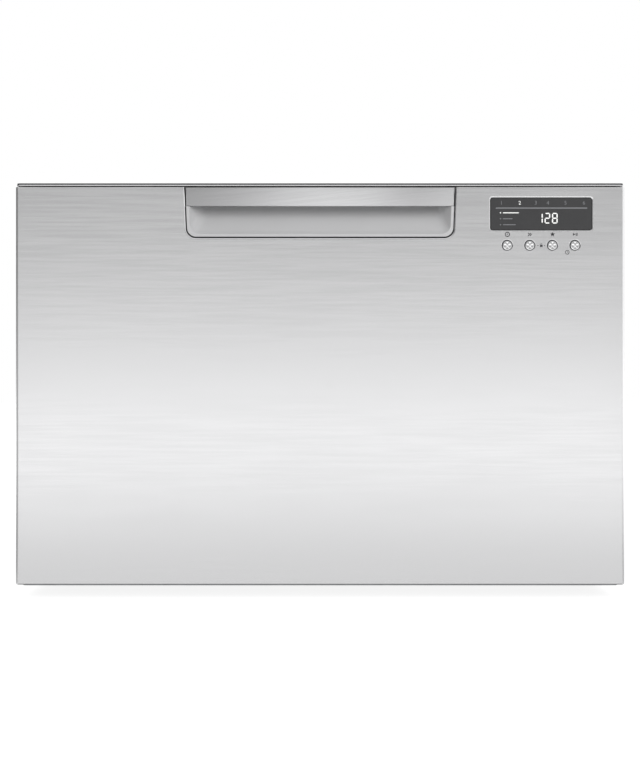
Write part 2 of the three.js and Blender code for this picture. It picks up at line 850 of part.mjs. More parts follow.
// -----------------------------------------------------------------------------
// Tub and lid
// -----------------------------------------------------------------------------
const wellCentre = [wellX, tubMiddle + wellY];
const dispenserTop = tubRim - dispenserDrop;
const dispenserBottom = dispenserTop - dispenserHeight;
const dispenserLeft = dispenserX - dispenserWidth / 2;
const dispenserRight = dispenserX + dispenserWidth / 2;

/** The outline of the tub seen from above, grown by a margin. */
const tubOutline = (grow) =>
  roundedRect(-tubHalf - grow, tubHalf + grow, tubFront - grow, tubRear + grow, tubCorner + grow);

function tub() {
  const outer = join(
    extrude(tubOutline(0), "z", tubUnder, tubRim),
    extrude(tubOutline(rimWidth), "z", tubRim - rimThickness, tubRim),
    bar("z", sumpRadius, sumpUnder, tubUnder + 1, 0, tubMiddle, 32),
    bar("z", wellRadius, sumpUnder, tubUnder + 1, ...wellCentre, 20),
  );
  return cut(
    outer,
    extrude(tubOutline(-tubWall), "z", tubFloor, tubRim + 1),
    bar("z", sumpRadius - tubWall, sumpFloor, tubFloor + 1, 0, tubMiddle, 32),
    bar("z", wellRadius - tubWall, sumpFloor, tubFloor + 1, ...wellCentre, 20),
    block(
      [dispenserLeft + dispenserFlange, dispenserRight - dispenserFlange],
      [tubFront - 1, tubFront + tubWall + 1],
      [dispenserBottom + dispenserFlange, dispenserTop - dispenserFlange],
    ),
    bar("y", fanRadius - 6, tubFront - 1, tubFront + tubWall + 1, fanX, fanZ, 20),
  );
}

const lidOutline = (grow) => tubOutline(rimWidth + lidOverhang + grow);

function lidPanel() {
  const tray = cut(
    extrude(lidOutline(0), "z", lidUnder, lidTop),
    extrude(lidOutline(-lidSheet), "z", lidUnder + lidSheet, lidTop + 1),
  );
  const rib = lidRibThickness / 2;
  const [foot, ribTop] = [lidUnder + 1, lidUnder + lidSheet + lidRibHeight];
  const [halfX, halfY] = [tubHalf, (tubRear - tubFront) / 2];
  const across = [-1, 0, 1].map((k) => tubMiddle + (k * halfY) / 2);
  const along = [-1, 0, 1].map((k) => (k * halfX) / 2);
  const ribs = [
    ...across.map((y) => block([-halfX, halfX], [y - rib, y + rib], [foot, ribTop])),
    ...along.map((x) => block([x - rib, x + rib], [tubFront, tubRear], [foot, ribTop - 1])),
  ];
  return join(tray, ...ribs);
}

function lidSeal() {
  const ring = lidOutline(-1);
  ring.holes.push(lidOutline(-1 - sealWidth));
  return extrude(ring, "z", sealUnder, lidUnder - fit);
}

const rodX = (tubHalf + rimWidth + lidOverhang + sideInner) / 2 + 1;
const actuatorTop = lidUnder - actuatorDrop;

/** The rod that an actuator lifts one side of the lid with. */
function lidRod() {
  const armTop = lidUnder + lidHeight - 3;
  const lidSide = tubHalf + rimWidth + lidOverhang + fit;
  return join(
    block([lidSide, rodX + 4], [tubMiddle - 8, tubMiddle + 8], [armTop - 8, armTop]),
    bar("z", lidRodRadius, armTop - lidRodLength, armTop - 1, rodX, tubMiddle, 12),
  );
}

function lidActuator() {
  const inner = rodX - lidRodRadius - 4.5;
  const body = block(
    [inner, sideInner - fit],
    [tubMiddle - actuatorLength / 2, tubMiddle + actuatorLength / 2],
    [actuatorTop - actuatorHeight, actuatorTop],
  );
  const rodEnd = lidUnder + lidHeight - 3 - lidRodLength;
  const reach = rodEnd - lidTravel - 1;
  return cut(body, bar("z", lidRodRadius + fit, reach, actuatorTop + 1, rodX, tubMiddle, 12));
}

// -----------------------------------------------------------------------------
// Wash system
// -----------------------------------------------------------------------------
const housingFloor = sumpFloor + fit;
const rotorUnder = housingFloor + housingSheet + 1;
const sprayUnder = tubUnder + sprayLift;

/** The pump housing, a dish with the fixed spindle that the rotor and the spray arm turn on. */
function pumpHousing() {
  const dish = cut(
    bar("z", housingRadius, housingFloor, tubFloor, 0, tubMiddle, 28),
    bar("z", housingRadius - housingSheet, housingFloor + housingSheet, tubFloor + 1, 0, tubMiddle, 28),
  );
  const spindleTop = sprayUnder + sprayHubLip + sprayThickness + 1 + spindleRise;
  return join(dish, bar("z", spindleRadius, housingFloor, spindleTop, 0, tubMiddle, 12));
}

function pumpRotor() {
  const disc = bar("z", rotorRadius, rotorUnder, rotorUnder + 3, 0, tubMiddle, 24);
  const hub = bar("z", rotorHubRadius, rotorUnder, sprayUnder - fit, 0, tubMiddle, 16);
  const blades = Array.from({ length: bladeCount }, (_, k) => {
    const blade = new THREE.BoxGeometry(rotorRadius - 12, 2, rotorThickness - 2);
    blade.translate(rotorRadius / 2 + 4, 0, rotorUnder + 2 + (rotorThickness - 2) / 2);
    blade.rotateZ((2 * Math.PI * k) / bladeCount);
    blade.translate(0, tubMiddle, 0);
    return solidOf(blade);
  });
  const bore = bar("z", spindleRadius + shaftClearance, rotorUnder - 1, sprayUnder, 0, tubMiddle, 12);
  return cut(join(disc, hub, ...blades), bore);
}

function motorStator() {
  const ring = ngon(statorRadius, 24, 0, tubMiddle);
  ring.holes.push(ngon(statorBore, 16, 0, tubMiddle));
  return extrude(ring, "z", sumpUnder - fit - statorHeight, sumpUnder - fit);
}

function heaterRing() {
  const ring = ngon(heaterOuter, 32, 0, tubMiddle);
  ring.holes.push(ngon(heaterInner, 32, 0, tubMiddle));
  return extrude(ring, "z", sumpFloor + fit, sumpFloor + fit + heaterHeight);
}

const filterUnder = tubFloor + fit;
const filterTop = filterUnder + filterThickness;

function filterPlate() {
  const plate = extrude(tubOutline(-tubWall - filterMargin), "z", filterUnder, filterTop);
  return cut(
    plate,
    bar("z", filterHubHole, filterUnder - 1, filterTop + 1, 0, tubMiddle, 20),
    bar("z", drainCupRadius + 1.5, filterUnder - 1, filterTop + 1, ...wellCentre, 20),
  );
}

/** The drain filter about its own axis: a cup with a turning handle across its top. */
function drainFilter() {
  const cupTop = filterTop + 1 - sumpFloor;
  const shell = cut(
    bar("z", drainCupRadius, fit, cupTop, 0, 0, 20),
    bar("z", drainCupRadius - drainCupWall, fit + drainCupWall, cupTop + 1, 0, 0, 20),
  );
  const rim = ngon(drainCupRadius + drainRim, 20);
  rim.holes.push(ngon(drainCupRadius - drainCupWall, 20));
  const handle = block(
    [-drainHandleWidth / 2, drainHandleWidth / 2],
    [-drainCupRadius + 1, drainCupRadius - 1],
    [cupTop - 1, cupTop - 1 + drainHandleHeight],
  );
  return join(shell, extrude(rim, "z", filterTop + fit - sumpFloor, cupTop + 0.5), handle);
}

/** The spray arm about the spindle: two tapered blades on a round hub. */
function sprayArm() {
  const [tipHalf, rootHalf] = [sprayTipWidth / 2, sprayRootWidth / 2];
  const tipX = sprayRadius - tipHalf;
  const blade = new THREE.Shape();
  blade.moveTo(-tipX, -tipHalf);
  blade.lineTo(0, -rootHalf);
  blade.lineTo(tipX, -tipHalf);
  blade.absarc(tipX, 0, tipHalf, -Math.PI / 2, Math.PI / 2);
  blade.lineTo(0, rootHalf);
  blade.lineTo(-tipX, tipHalf);
  blade.absarc(-tipX, 0, tipHalf, Math.PI / 2, 1.5 * Math.PI);
  const bladeUnder = sprayUnder + sprayHubLip;
  const hubTop = bladeUnder + sprayThickness + 1;
  const arm = extrude(blade, "z", bladeUnder, bladeUnder + sprayThickness);
  const hub = bar("z", sprayHubRadius, sprayUnder, hubTop, 0, 0, 24);
  const bore = bar("z", spindleRadius + shaftClearance, sprayUnder - 1, hubTop + 1, 0, 0, 12);
  return cut(join(arm, hub), bore);
}

// -----------------------------------------------------------------------------
// Racks
// -----------------------------------------------------------------------------

/** A wire bent to a U across one axis: half its width, its foot and its top. */
function bentWire(axis, centre, half, place, foot, top) {
  const [a, b] = [centre - half, centre + half];
  const shape = outline([
    [a, top],
    [a, foot],
    [b, foot],
    [b, top],
    [b - wire, top],
    [b - wire, foot + wire],
    [a + wire, foot + wire],
    [a + wire, top],
  ]);
  return extrude(shape, axis, place - wire / 2, place + wire / 2);
}

/** A clip that holds a hinge rod along Y: a small block with a bore. */
function rodClip(x, y, z, [x0, x1], [z0, z1]) {
  const body = block([x0, x1], [y - wire / 2 - 1, y + wire / 2 + 1], [z0, z1]);
  return { body, bore: bar("y", rodRadius + clipClearance, y - wire, y + wire, x, z, 8) };
}

const tineRowPlaces = spread(tineRowCount, tineRowPitch);

function lowerRack() {
  const crossWires = spread(crossWireCount, crossWirePitch, tubMiddle).map((y) =>
    bentWire("y", 0, rackHalfX, y, rackFloor, rackSideTop),
  );
  const longWires = spread(longWireCount, longWirePitch).map((x) =>
    bentWire("x", tubMiddle, rackHalfY, x, longWireZ, rackFloor + rackEndHeight),
  );
  const rimZ = rackFloor + rackEndHeight;
  const ring = (grow) =>
    roundedRect(
      -rackHalfX - grow,
      rackHalfX + grow,
      tubMiddle - rackHalfY - grow,
      tubMiddle + rackHalfY + grow,
      tubCorner - rackMargin + grow,
    );
  const rim = ring(0);
  rim.holes.push(ring(-wire));
  const reach = -firstCrossWire + wire;
  const topBars = spread(2, 2 * rackHalfX - wire).map((x) =>
    block(
      [x - wire / 2, x + wire / 2],
      [tubMiddle - reach, tubMiddle + reach],
      [rackSideTop - wire, rackSideTop],
    ),
  );
  const legs = spread(2, 2 * (rackHalfX - rackLegInset)).flatMap((x) =>
    spread(2, 2 * firstCrossWire, tubMiddle).map((y) =>
      block([x - wire / 2, x + wire / 2], [y - wire / 2, y + wire / 2], [filterTop + fit, rackFloor + 1]),
    ),
  );
  const hingePlaces = [tubMiddle + hingeFront, tubMiddle + hingeRear];
  const halfClip = clipSize / 2;
  const tineClips = tineRowPlaces.flatMap((x) =>
    hingePlaces.map((y) =>
      rodClip(x, y, tinePivotZ, [x - halfClip, x + halfClip], [rackFloor + 1, tinePivotZ + halfClip]),
    ),
  );
  const [clipInner, clipOuter] = [cupPivotX - halfClip, rackHalfX - 1];
  const cupClips = [-1, 1].flatMap((side) =>
    hingePlaces.map((y) =>
      rodClip(
        side * cupPivotX,
        y,
        cupPivotZ,
        side > 0 ? [clipInner, clipOuter] : [-clipOuter, -clipInner],
        [cupPivotZ - halfClip, cupPivotZ + halfClip],
      ),
    ),
  );
  const clips = [...tineClips, ...cupClips];
  const basket = join(
    ...crossWires,
    ...longWires,
    extrude(rim, "z", rimZ - wire, rimZ, 2),
    ...topBars,
    ...legs,
    ...clips.map((clip) => clip.body),
  );
  return cut(basket, ...clips.map((clip) => clip.bore));
}

const hingeLength = hingeRear - hingeFront;
const hingeCentre = tubMiddle + (hingeFront + hingeRear) / 2;

/** One fold-down row of tines about its hinge rod, upright. */
function tineRow() {
  const rod = bar("y", rodRadius, -hingeLength / 2 - wire, hingeLength / 2 + wire, 0, 0, 8);
  const tines = spread(tineCount, tinePitch).map((y) => bar("z", thinWire / 2, 0, tineHeight, 0, y, 6));
  return join(rod, ...tines);
}

/** A fold-up cup rack about its hinge rod, for the right-hand side: a shelf of wires that reaches in. */
function cupRack() {
  const half = hingeLength / 2 - 12;
  const rod = bar("y", rodRadius, -hingeLength / 2 - wire, hingeLength / 2 + wire, 0, 0, 8);
  const rails = [-cupRackDepth + wire / 2, -cupRackDepth / 2].map((x) =>
    block([x - wire / 2, x + wire / 2], [-half, half], [-wire / 2, wire / 2]),
  );
  const ribs = Array.from({ length: cupRackRibs }, (_, k) => {
    const y = -half + wire / 2 + (k * (2 * half - wire)) / (cupRackRibs - 1);
    return block([-cupRackDepth, 0], [y - thinWire / 2, y + thinWire / 2], [-thinWire / 2, thinWire / 2]);
  });
  return join(rod, ...rails, ...ribs);
}

function cutleryBasket() {
  const rear = tubMiddle + rackHalfY - wire - 2;
  const front = rear - basketDepth;
  const foot = rackTopOfWires + fit;
  const half = basketWidth / 2;
  const divider = basketHandleSpan / 2 + basketHandleBar / 2;
  const body = block([-half, half], [front, rear], [foot, foot + basketHeight]);
  const cells = [
    [-half + basketWall, -divider - basketWall / 2],
    [-divider + basketWall / 2, divider - basketWall / 2],
    [divider + basketWall / 2, half - basketWall],
  ].map(([x0, x1]) =>
    block([x0, x1], [front + basketWall, rear - basketWall], [foot + basketWall, foot + basketHeight + 1]),
  );
  const middle = (front + rear) / 2;
  const handleTop = foot + basketHeight + basketHandleRise;
  const sides = [-1, 1].map((s) =>
    block(
      [s * divider - basketHandleBar / 2, s * divider + basketHandleBar / 2],
      [middle - basketHandleBar / 2, middle + basketHandleBar / 2],
      [foot + basketHeight - basketHandleRoot, handleTop],
    ),
  );
  const grip = block(
    [-divider - basketHandleBar / 2, divider + basketHandleBar / 2],
    [middle - basketHandleBar / 2, middle + basketHandleBar / 2],
    [handleTop - basketHandleBar, handleTop],
  );
  return join(cut(body, ...cells), ...sides, grip);
}

// -----------------------------------------------------------------------------
// Dispenser and drying fan, in the front wall of the tub
// -----------------------------------------------------------------------------
const wallInside = tubFront + tubWall;
const flangeFace = wallInside + fit + dispenserFlange;
const cupLeft = dispenserLeft + cupMargin;
const cupRight = cupLeft + cupWidth;
const cupBottom = dispenserBottom + cupMargin;
const cupTop = cupBottom + cupHeight;
const flapAxisY = flangeFace + fit + flapBarrel;
const flapAxisZ = cupBottom - flapLip - flapBarrel;
const rinseX = (cupRight + dispenserRight) / 2;
const rinseZ = (cupBottom + cupTop) / 2;

function dispenserHousing() {
  const hole = dispenserFlange + fit;
  const back = tubFront - dispenserDepth;
  const body = block(
    [dispenserLeft + hole, dispenserRight - hole],
    [back, wallInside + 1],
    [dispenserBottom + hole, dispenserTop - hole],
  );
  const flange = block(
    [dispenserLeft, dispenserRight],
    [wallInside + fit, flangeFace],
    [dispenserBottom, dispenserTop],
  );
  const lugHalf = flapBarrel + 1;
  const lugSpan = cupWidth + 2 * (flapLip + fit) + flapLug;
  const lugs = spread(2, lugSpan, (cupLeft + cupRight) / 2).map((x) =>
    block(
      [x - flapLug / 2, x + flapLug / 2],
      [flangeFace - 1, flapAxisY + lugHalf],
      [flapAxisZ - lugHalf, flapAxisZ + lugHalf],
    ),
  );
  const pinBore = bar("x", flapPin + fit, dispenserLeft - 1, dispenserRight + 1, flapAxisY, flapAxisZ, 8);
  const cup = block([cupLeft, cupRight], [back + 2, flangeFace + 1], [cupBottom, cupTop]);
  const neck = bar("y", rinseCapRadius - 5, back + 2, flangeFace + 1, rinseX, rinseZ, 16);
  return cut(join(body, flange, ...lugs), cup, neck, pinBore);
}

/** The detergent flap about its hinge pin, closed. */
function dispenserFlap() {
  const half = cupWidth / 2 + flapLip;
  const plateBack = flangeFace + fit - flapAxisY;
  return join(
    block([-half, half], [plateBack, plateBack + flapThickness], [0, cupHeight + 2 * flapLip + flapBarrel]),
    bar("x", flapBarrel, -half, half, 0, 0, 8),
    bar("x", flapPin, -half - flapLug + 0.5, half + flapLug - 0.5, 0, 0, 8),
  );
}

/** The rinse-aid cap about its own axis. */
function rinseCap() {
  return join(
    bar("y", rinseCapRadius, 0, rinseCapHeight - 3, 0, 0, 24),
    block([-rinseCapRadius + 3, rinseCapRadius - 3], [rinseCapHeight - 4, rinseCapHeight], [-2, 2]),
    bar("y", rinseCapRadius - 5 - fit, -8, 1, 0, 0, 16),
  );
}

const fanFront = panelBack + fit;
const fanBack = tubFront - fit;

/** The drying fan's housing: a drum between frame and tub, its inlet in front, its spokes at the tub. */
function fanHousing() {
  const drum = cut(
    bar("y", fanRadius, fanFront, fanBack, fanX, fanZ, 24),
    bar("y", fanRadius - fanWall, fanFront + fanWall, fanBack + 1, fanX, fanZ, 24),
    bar("y", fanInletRadius, fanFront - 1, fanBack, fanX, fanZ, 16),
  );
  const spokeFront = fanBack - 2.5;
  const spokes = [0, 1, 2].map((k) => {
    const spoke = new THREE.BoxGeometry(2 * fanRadius - 2, 2.5, 3);
    spoke.rotateY((Math.PI * k) / 3);
    spoke.translate(fanX, spokeFront + 1.25, fanZ);
    return solidOf(spoke);
  });
  const stub = bar("y", fanShaftRadius, fanFront + 6, fanBack, fanX, fanZ, 10);
  return join(drum, ...spokes, stub);
}

/** The fan's rotor about its own axis. */
function fanRotor() {
  const length = fanBack - 2.5 - 1 - (fanFront + fanWall + 1);
  const hub = bar("y", 8, 0, length, 0, 0, 14);
  const disc = bar("y", fanRotorRadius, length - 1.5, length, 0, 0, 20);
  const blades = Array.from({ length: fanBladeCount }, (_, k) => {
    const blade = new THREE.BoxGeometry(fanRotorRadius - 15, length, 1.5);
    blade.translate((fanRotorRadius + 13) / 2, length / 2, 0);
    blade.rotateY((2 * Math.PI * k) / fanBladeCount);
    return solidOf(blade);
  });
  const bore = bar("y", fanShaftRadius + fit, -1, length + 1, 0, 0, 10);
  return cut(join(hub, disc, ...blades), bore);
}

function controllerBox() {
  const top = tubUnder - fit;
  return block(
    [controllerX - controllerWidth / 2, controllerX + controllerWidth / 2],
    [controllerY - controllerLength / 2, controllerY + controllerLength / 2],
    [top - controllerHeight, top],
  );
}

// -----------------------------------------------------------------------------
// Assembly
// -----------------------------------------------------------------------------

function chassis() {
  const group = new THREE.Group();
  group.add(
    piece("base_pan", basePan(), finishes.zincSheet),
    piece("top_panel", topPanel(), finishes.zincSheet),
    piece("rear_panel", rearPanel(), finishes.zincSheet),
    piece("inlet_valve", inletValve(), finishes.whitePlastic),
    piece("drain_outlet", drainOutlet(), finishes.blackPlastic),
    piece("mains_box", mainsBox(), finishes.blackPlastic),
  );
  const sides = bothSides((side) => [
    piece(`${side}_side_panel`, sidePanel(), finishes.zincSheet),
    piece(`${side}_outer_rail`, outerRail(), finishes.zincSheet),
    piece(`${side}_middle_rail`, middleRail(), finishes.zincSheet),
    piece(`${side}_lid_actuator`, lidActuator(), finishes.blackPlastic),
    ...Object.entries(footPlaces).map(([end, y]) =>
      piece(`${side}_${end}_foot`, levellingFoot(), finishes.blackPlastic, [footX, y, 0]),
    ),
  ]);
  group.add(...sides);
  return group;
}

function lid() {
  const group = new THREE.Group();
  group.add(
    piece("lid_panel", lidPanel(), finishes.paleLid),
    piece("lid_seal", lidSeal(), finishes.rubber),
  );
  group.add(...bothSides((side) => [piece(`${side}_lid_rod`, lidRod(), finishes.whitePlastic)]));
  return group;
}

function frontPanel() {
  const group = new THREE.Group();
  const buttonNames = ["power_button", "program_button", "option_button", "start_button"];
  group.add(
    piece("front_skin", frontSkin(), finishes.brushedSteel),
    piece("top_trim", topTrim(), finishes.satinTrim),
    piece("edge_strip", edgeStrip(), finishes.rubber),
    piece("front_frame", frontFrame(), finishes.charcoalPlastic),
    piece("handle_scoop", handleScoop(), finishes.silverPlastic),
    piece("handle_bar", handleBar(), finishes.brushedSteel),
    piece("display_window", displayWindow(), finishes.darkGlass),
    piece("display_board", displayBoard(), finishes.circuitGreen),
    ...buttonPlaces.map((x, k) =>
      piece(buttonNames[k], pushButton(), finishes.satinTrim, [x, yFront, buttonZ]),
    ),
  );
  return group;
}

function washSystem() {
  const group = new THREE.Group();
  group.add(
    piece("pump_housing", pumpHousing(), finishes.blackPlastic),
    piece("pump_rotor", pumpRotor(), finishes.whitePlastic),
    piece("motor_stator", motorStator(), finishes.copperCoil),
    piece("heater_ring", heaterRing(), finishes.stainlessPlate),
    piece("filter_plate", filterPlate(), finishes.stainlessPlate),
    piece("drain_filter", drainFilter(), finishes.charcoalPlastic, [...wellCentre, sumpFloor]),
    piece("spray_arm", sprayArm(), finishes.charcoalPlastic, [0, tubMiddle, 0]),
    piece("controller_box", controllerBox(), finishes.blackPlastic),
  );
  return group;
}

function racks() {
  const group = new THREE.Group();
  group.add(
    piece("lower_rack", lowerRack(), finishes.coatedWire),
    piece("cutlery_basket", cutleryBasket(), finishes.charcoalPlastic),
    ...tineRowPlaces.map((x, k) =>
      piece(`tine_row_${k + 1}`, tineRow(), finishes.coatedWire, [x, hingeCentre, tinePivotZ]),
    ),
    ...bothSides((side) => [
      piece(`${side}_cup_rack`, cupRack(), finishes.coatedWire, [cupPivotX, hingeCentre, cupPivotZ]),
    ]),
  );
  return group;
}

function frontWallFittings() {
  const group = new THREE.Group();
  const flapX = (cupLeft + cupRight) / 2;
  group.add(
    piece("dispenser_housing", dispenserHousing(), finishes.charcoalPlastic),
    piece("dispenser_flap", dispenserFlap(), finishes.whitePlastic, [flapX, flapAxisY, flapAxisZ]),
    piece("rinse_cap", rinseCap(), finishes.whitePlastic, [rinseX, flangeFace + fit, rinseZ]),
    piece("fan_housing", fanHousing(), finishes.blackPlastic),
    piece("fan_rotor", fanRotor(), finishes.whitePlastic, [fanX, fanFront + fanWall + 1, fanZ]),
  );
  return group;
}

function drawer() {
  const group = new THREE.Group();
  group.add(piece("tub", tub(), finishes.greyTub));
  group.add(
    ...bothSides((side) => [
      piece(`${side}_inner_rail`, innerRail(), finishes.zincSheet),
      piece(`${side}_runner_bracket`, runnerBracket(), finishes.zincSheet),
    ]),
  );
  group.add(frontPanel(), washSystem(), racks(), frontWallFittings());
  return group;
}

const dishwasherDrawer = new THREE.Group();
dishwasherDrawer.add(chassis(), lid(), drawer());

export default dishwasherDrawer;
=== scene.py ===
"""A built-in dishwasher drawer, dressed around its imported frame.

The frame holds every piece at its real size and place. This script gives each of them its finish, and stands
finer pieces in for those whose look needs more than the frame's plain solids: round wires, rolled edges,
perforations, rubber profiles, ball runners and the marks on the display. Lengths are in millimetres, +Z is up
and the front panel faces -Y; they turn into metres where a mesh is made.
"""

import json
import logging
import math
from collections.abc import Callable, Iterable, Sequence
from dataclasses import dataclass, field
from enum import Enum

import bmesh
import bpy
from mathutils import Matrix, Vector

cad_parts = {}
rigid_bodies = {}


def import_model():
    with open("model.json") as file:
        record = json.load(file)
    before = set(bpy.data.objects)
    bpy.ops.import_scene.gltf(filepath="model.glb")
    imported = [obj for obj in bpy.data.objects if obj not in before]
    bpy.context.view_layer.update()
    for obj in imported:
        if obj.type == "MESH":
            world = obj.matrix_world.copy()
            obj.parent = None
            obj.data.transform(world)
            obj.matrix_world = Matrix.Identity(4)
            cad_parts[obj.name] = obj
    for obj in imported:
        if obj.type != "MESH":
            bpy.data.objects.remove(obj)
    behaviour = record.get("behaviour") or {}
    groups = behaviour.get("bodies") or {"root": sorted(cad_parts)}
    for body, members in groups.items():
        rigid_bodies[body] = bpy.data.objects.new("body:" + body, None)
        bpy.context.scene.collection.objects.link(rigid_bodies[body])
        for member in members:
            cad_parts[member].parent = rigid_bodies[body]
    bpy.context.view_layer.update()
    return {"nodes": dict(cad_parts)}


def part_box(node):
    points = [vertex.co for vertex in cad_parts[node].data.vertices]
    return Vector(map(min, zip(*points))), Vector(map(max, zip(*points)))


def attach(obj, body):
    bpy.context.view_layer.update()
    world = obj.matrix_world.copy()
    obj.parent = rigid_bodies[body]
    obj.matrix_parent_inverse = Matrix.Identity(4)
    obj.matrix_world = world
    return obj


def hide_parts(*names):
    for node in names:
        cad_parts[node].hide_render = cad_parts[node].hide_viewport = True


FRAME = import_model()

MM = 0.001
CREASE = 38.0
MIRROR = Matrix.Scale(-1, 4, Vector((1, 0, 0)))
SIDES = {"right": 1, "left": -1}
log = logging.getLogger("dishwasher_drawer")

Flat = list[tuple[float, float]]
Stops = Sequence[tuple[float, float]]
Ring = list[Vector]
Span = tuple[float, float]
Colour = tuple[float, float, float]
Shape = Callable[[float], Flat]
Socket = bpy.types.NodeSocket
Node = bpy.types.Node


# --- Places and outlines ---


class Axis(Enum):
    """The direction that an outline is pushed along. It is drawn in (y, z), (x, z) or (x, y)."""

    X = 0
    Y = 1
    Z = 2

    def point(self, u: float, v: float, along: float) -> Vector:
        """Gives a point in space.

        Args:
            u, v: its two coordinates across this axis.
            along: its place along it.

        Returns:
            The point.
        """
        if self is Axis.X:
            return Vector((along, u, v))
        if self is Axis.Y:
            return Vector((u, along, v))
        return Vector((u, v, along))

    def ring(self, outline: Flat, along: float) -> Ring:
        """An outline set at one place along this axis."""
        return [self.point(u, v, along) for u, v in outline]


@dataclass(frozen=True)
class Extent:
    """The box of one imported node, in millimetres."""

    low: Vector
    high: Vector

    @classmethod
    def of(cls, node: str) -> "Extent":
        """The box of a node, by its name."""
        low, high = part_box(node)
        return cls(low / MM, high / MM)

    @property
    def middle(self) -> Vector:
        """The middle of the box."""
        return (self.low + self.high) / 2

    @property
    def size(self) -> Vector:
        """The lengths of its sides."""
        return self.high - self.low

    @property
    def reach(self) -> Span:
        """How near to the object's middle plane it comes, and how far from it."""
        near, far = sorted((abs(self.low.x), abs(self.high.x)))
        return near, far


def arc(u: float, v: float, radius: float, start: float, end: float, steps: int) -> Flat:
    """Points on an arc.

    Args:
        u, v: its centre.
        radius: its radius.
        start, end: its first and last angle, in degrees.
        steps: how many straight steps it is drawn with.

    Returns:
        The points, from start to end.
    """
    angles = [math.radians(start + (end - start) * k / steps) for k in range(steps + 1)]
    return [(u + radius * math.cos(a), v + radius * math.sin(a)) for a in angles]


def circle(radius: float, u: float = 0.0, v: float = 0.0, sides: int = 32) -> Flat:
    """The outline of a round hole or bar."""
    return arc(u, v, radius, 0, 360, sides)[:-1]


def rounded_box(us: Span, vs: Span, radius: float, steps: int = 8) -> Flat:
    """A rectangle with round corners.

    Args:
        us, vs: its reach on the two coordinates.
        radius: of each corner.
        steps: straight steps in a corner.

    Returns:
        The outline, anticlockwise.
    """
    (u0, u1), (v0, v1) = us, vs
    r = max(radius, 0.01)
    corners = [(u1 - r, v0 + r, -90), (u1 - r, v1 - r, 0), (u0 + r, v1 - r, 90), (u0 + r, v0 + r, 180)]
    return [p for u, v, start in corners for p in arc(u, v, r, start, start + 90, steps)]


def about(middle: float, half: float) -> Span:
    """The reach of something that spans half its width to both sides of a middle."""
    return middle - half, middle + half


def drawn_in(span: Span, inset: float) -> Span:
    """A reach that is shorter by an inset at both ends."""
    return span[0] + inset, span[1] - inset


def slot_shape(u: float, v: float, length: float, width: float, upright: bool = False) -> Flat:
    """A long hole with round ends, lying along u or standing along v."""
    half_u, half_v = (width / 2, length / 2) if upright else (length / 2, width / 2)
    return rounded_box(about(u, half_u), about(v, half_v), width / 2 - 0.01, 4)


def block_profile(inner: float, outer: float, span: Span) -> Flat:
    """The profile of a ring with a rectangular section."""
    return [(inner, span[0]), (outer, span[0]), (outer, span[1]), (inner, span[1])]


def spread(count: int, pitch: float, middle: float = 0.0) -> list[float]:
    """Evenly spaced places about a middle."""
    return [middle + (k - (count - 1) / 2) * pitch for k in range(count)]


def quarter(steps: int) -> list[tuple[float, float]]:
    """A rounded edge of radius 1 from its face to its side: (how deep, how far in)."""
    angles = [math.pi / 2 * k / steps for k in range(steps + 1)]
    return [(1 - math.cos(a), 1 - math.sin(a)) for a in angles]


def bent(points: Sequence[Vector], radius: float, steps: int = 5) -> list[Vector]:
    """A path whose corners are bent to a radius.

    Args:
        points: its ends and the corners between them.
        radius: of each bend.
        steps: straight steps in a bend.

    Returns:
        The points of the bent path.
    """
    path = [points[0]]
    for last, corner, following in zip(points, points[1:], points[2:]):
        before = (last - corner).normalized()
        after = (following - corner).normalized()
        half = before.angle(after) / 2
        reach = radius / math.tan(half)
        centre = corner + (before + after).normalized() * (radius / math.sin(half))
        start = corner + before * reach - centre
        end = corner + after * reach - centre
        for s in range(steps + 1):
            path.append(centre + start.slerp(end, s / steps, start).normalized() * start.length)
    return [*path, points[-1]]


def thick_line(path: Flat, width: float) -> Flat:
    """The outline of a line drawn with a width.

    Args:
        path: the points of the line.
        width: of the line.

    Returns:
        The outline.
    """
    spots = [Vector(p) for p in path]
    left, right = [], []
    for k, spot in enumerate(spots):
        along = (spots[min(k + 1, len(spots) - 1)] - spots[max(k - 1, 0)]).normalized()
        side = Vector((-along.y, along.x)) * (width / 2)
        left.append(tuple(spot + side))
        right.append(tuple(spot - side))
    return [*left, *reversed(right)]


def star(points: int, outer: float, inner: float, u: float, v: float) -> Flat:
    """The outline of a star."""
    turns = [(inner if k % 2 else outer, math.pi / 2 + math.pi * k / points) for k in range(2 * points)]
    return [(u + r * math.cos(a), v + r * math.sin(a)) for r, a in turns]


# --- Meshes ---


def hung(name: str, data: bpy.types.ID) -> bpy.types.Object:
    """A new object in the scene, made from its data.

    Args:
        name: of the object.
        data: its mesh, camera or light.

    Returns:
        The object.
    """
    thing = bpy.data.objects.new(name, data)
    bpy.context.scene.collection.objects.link(thing)
    return thing


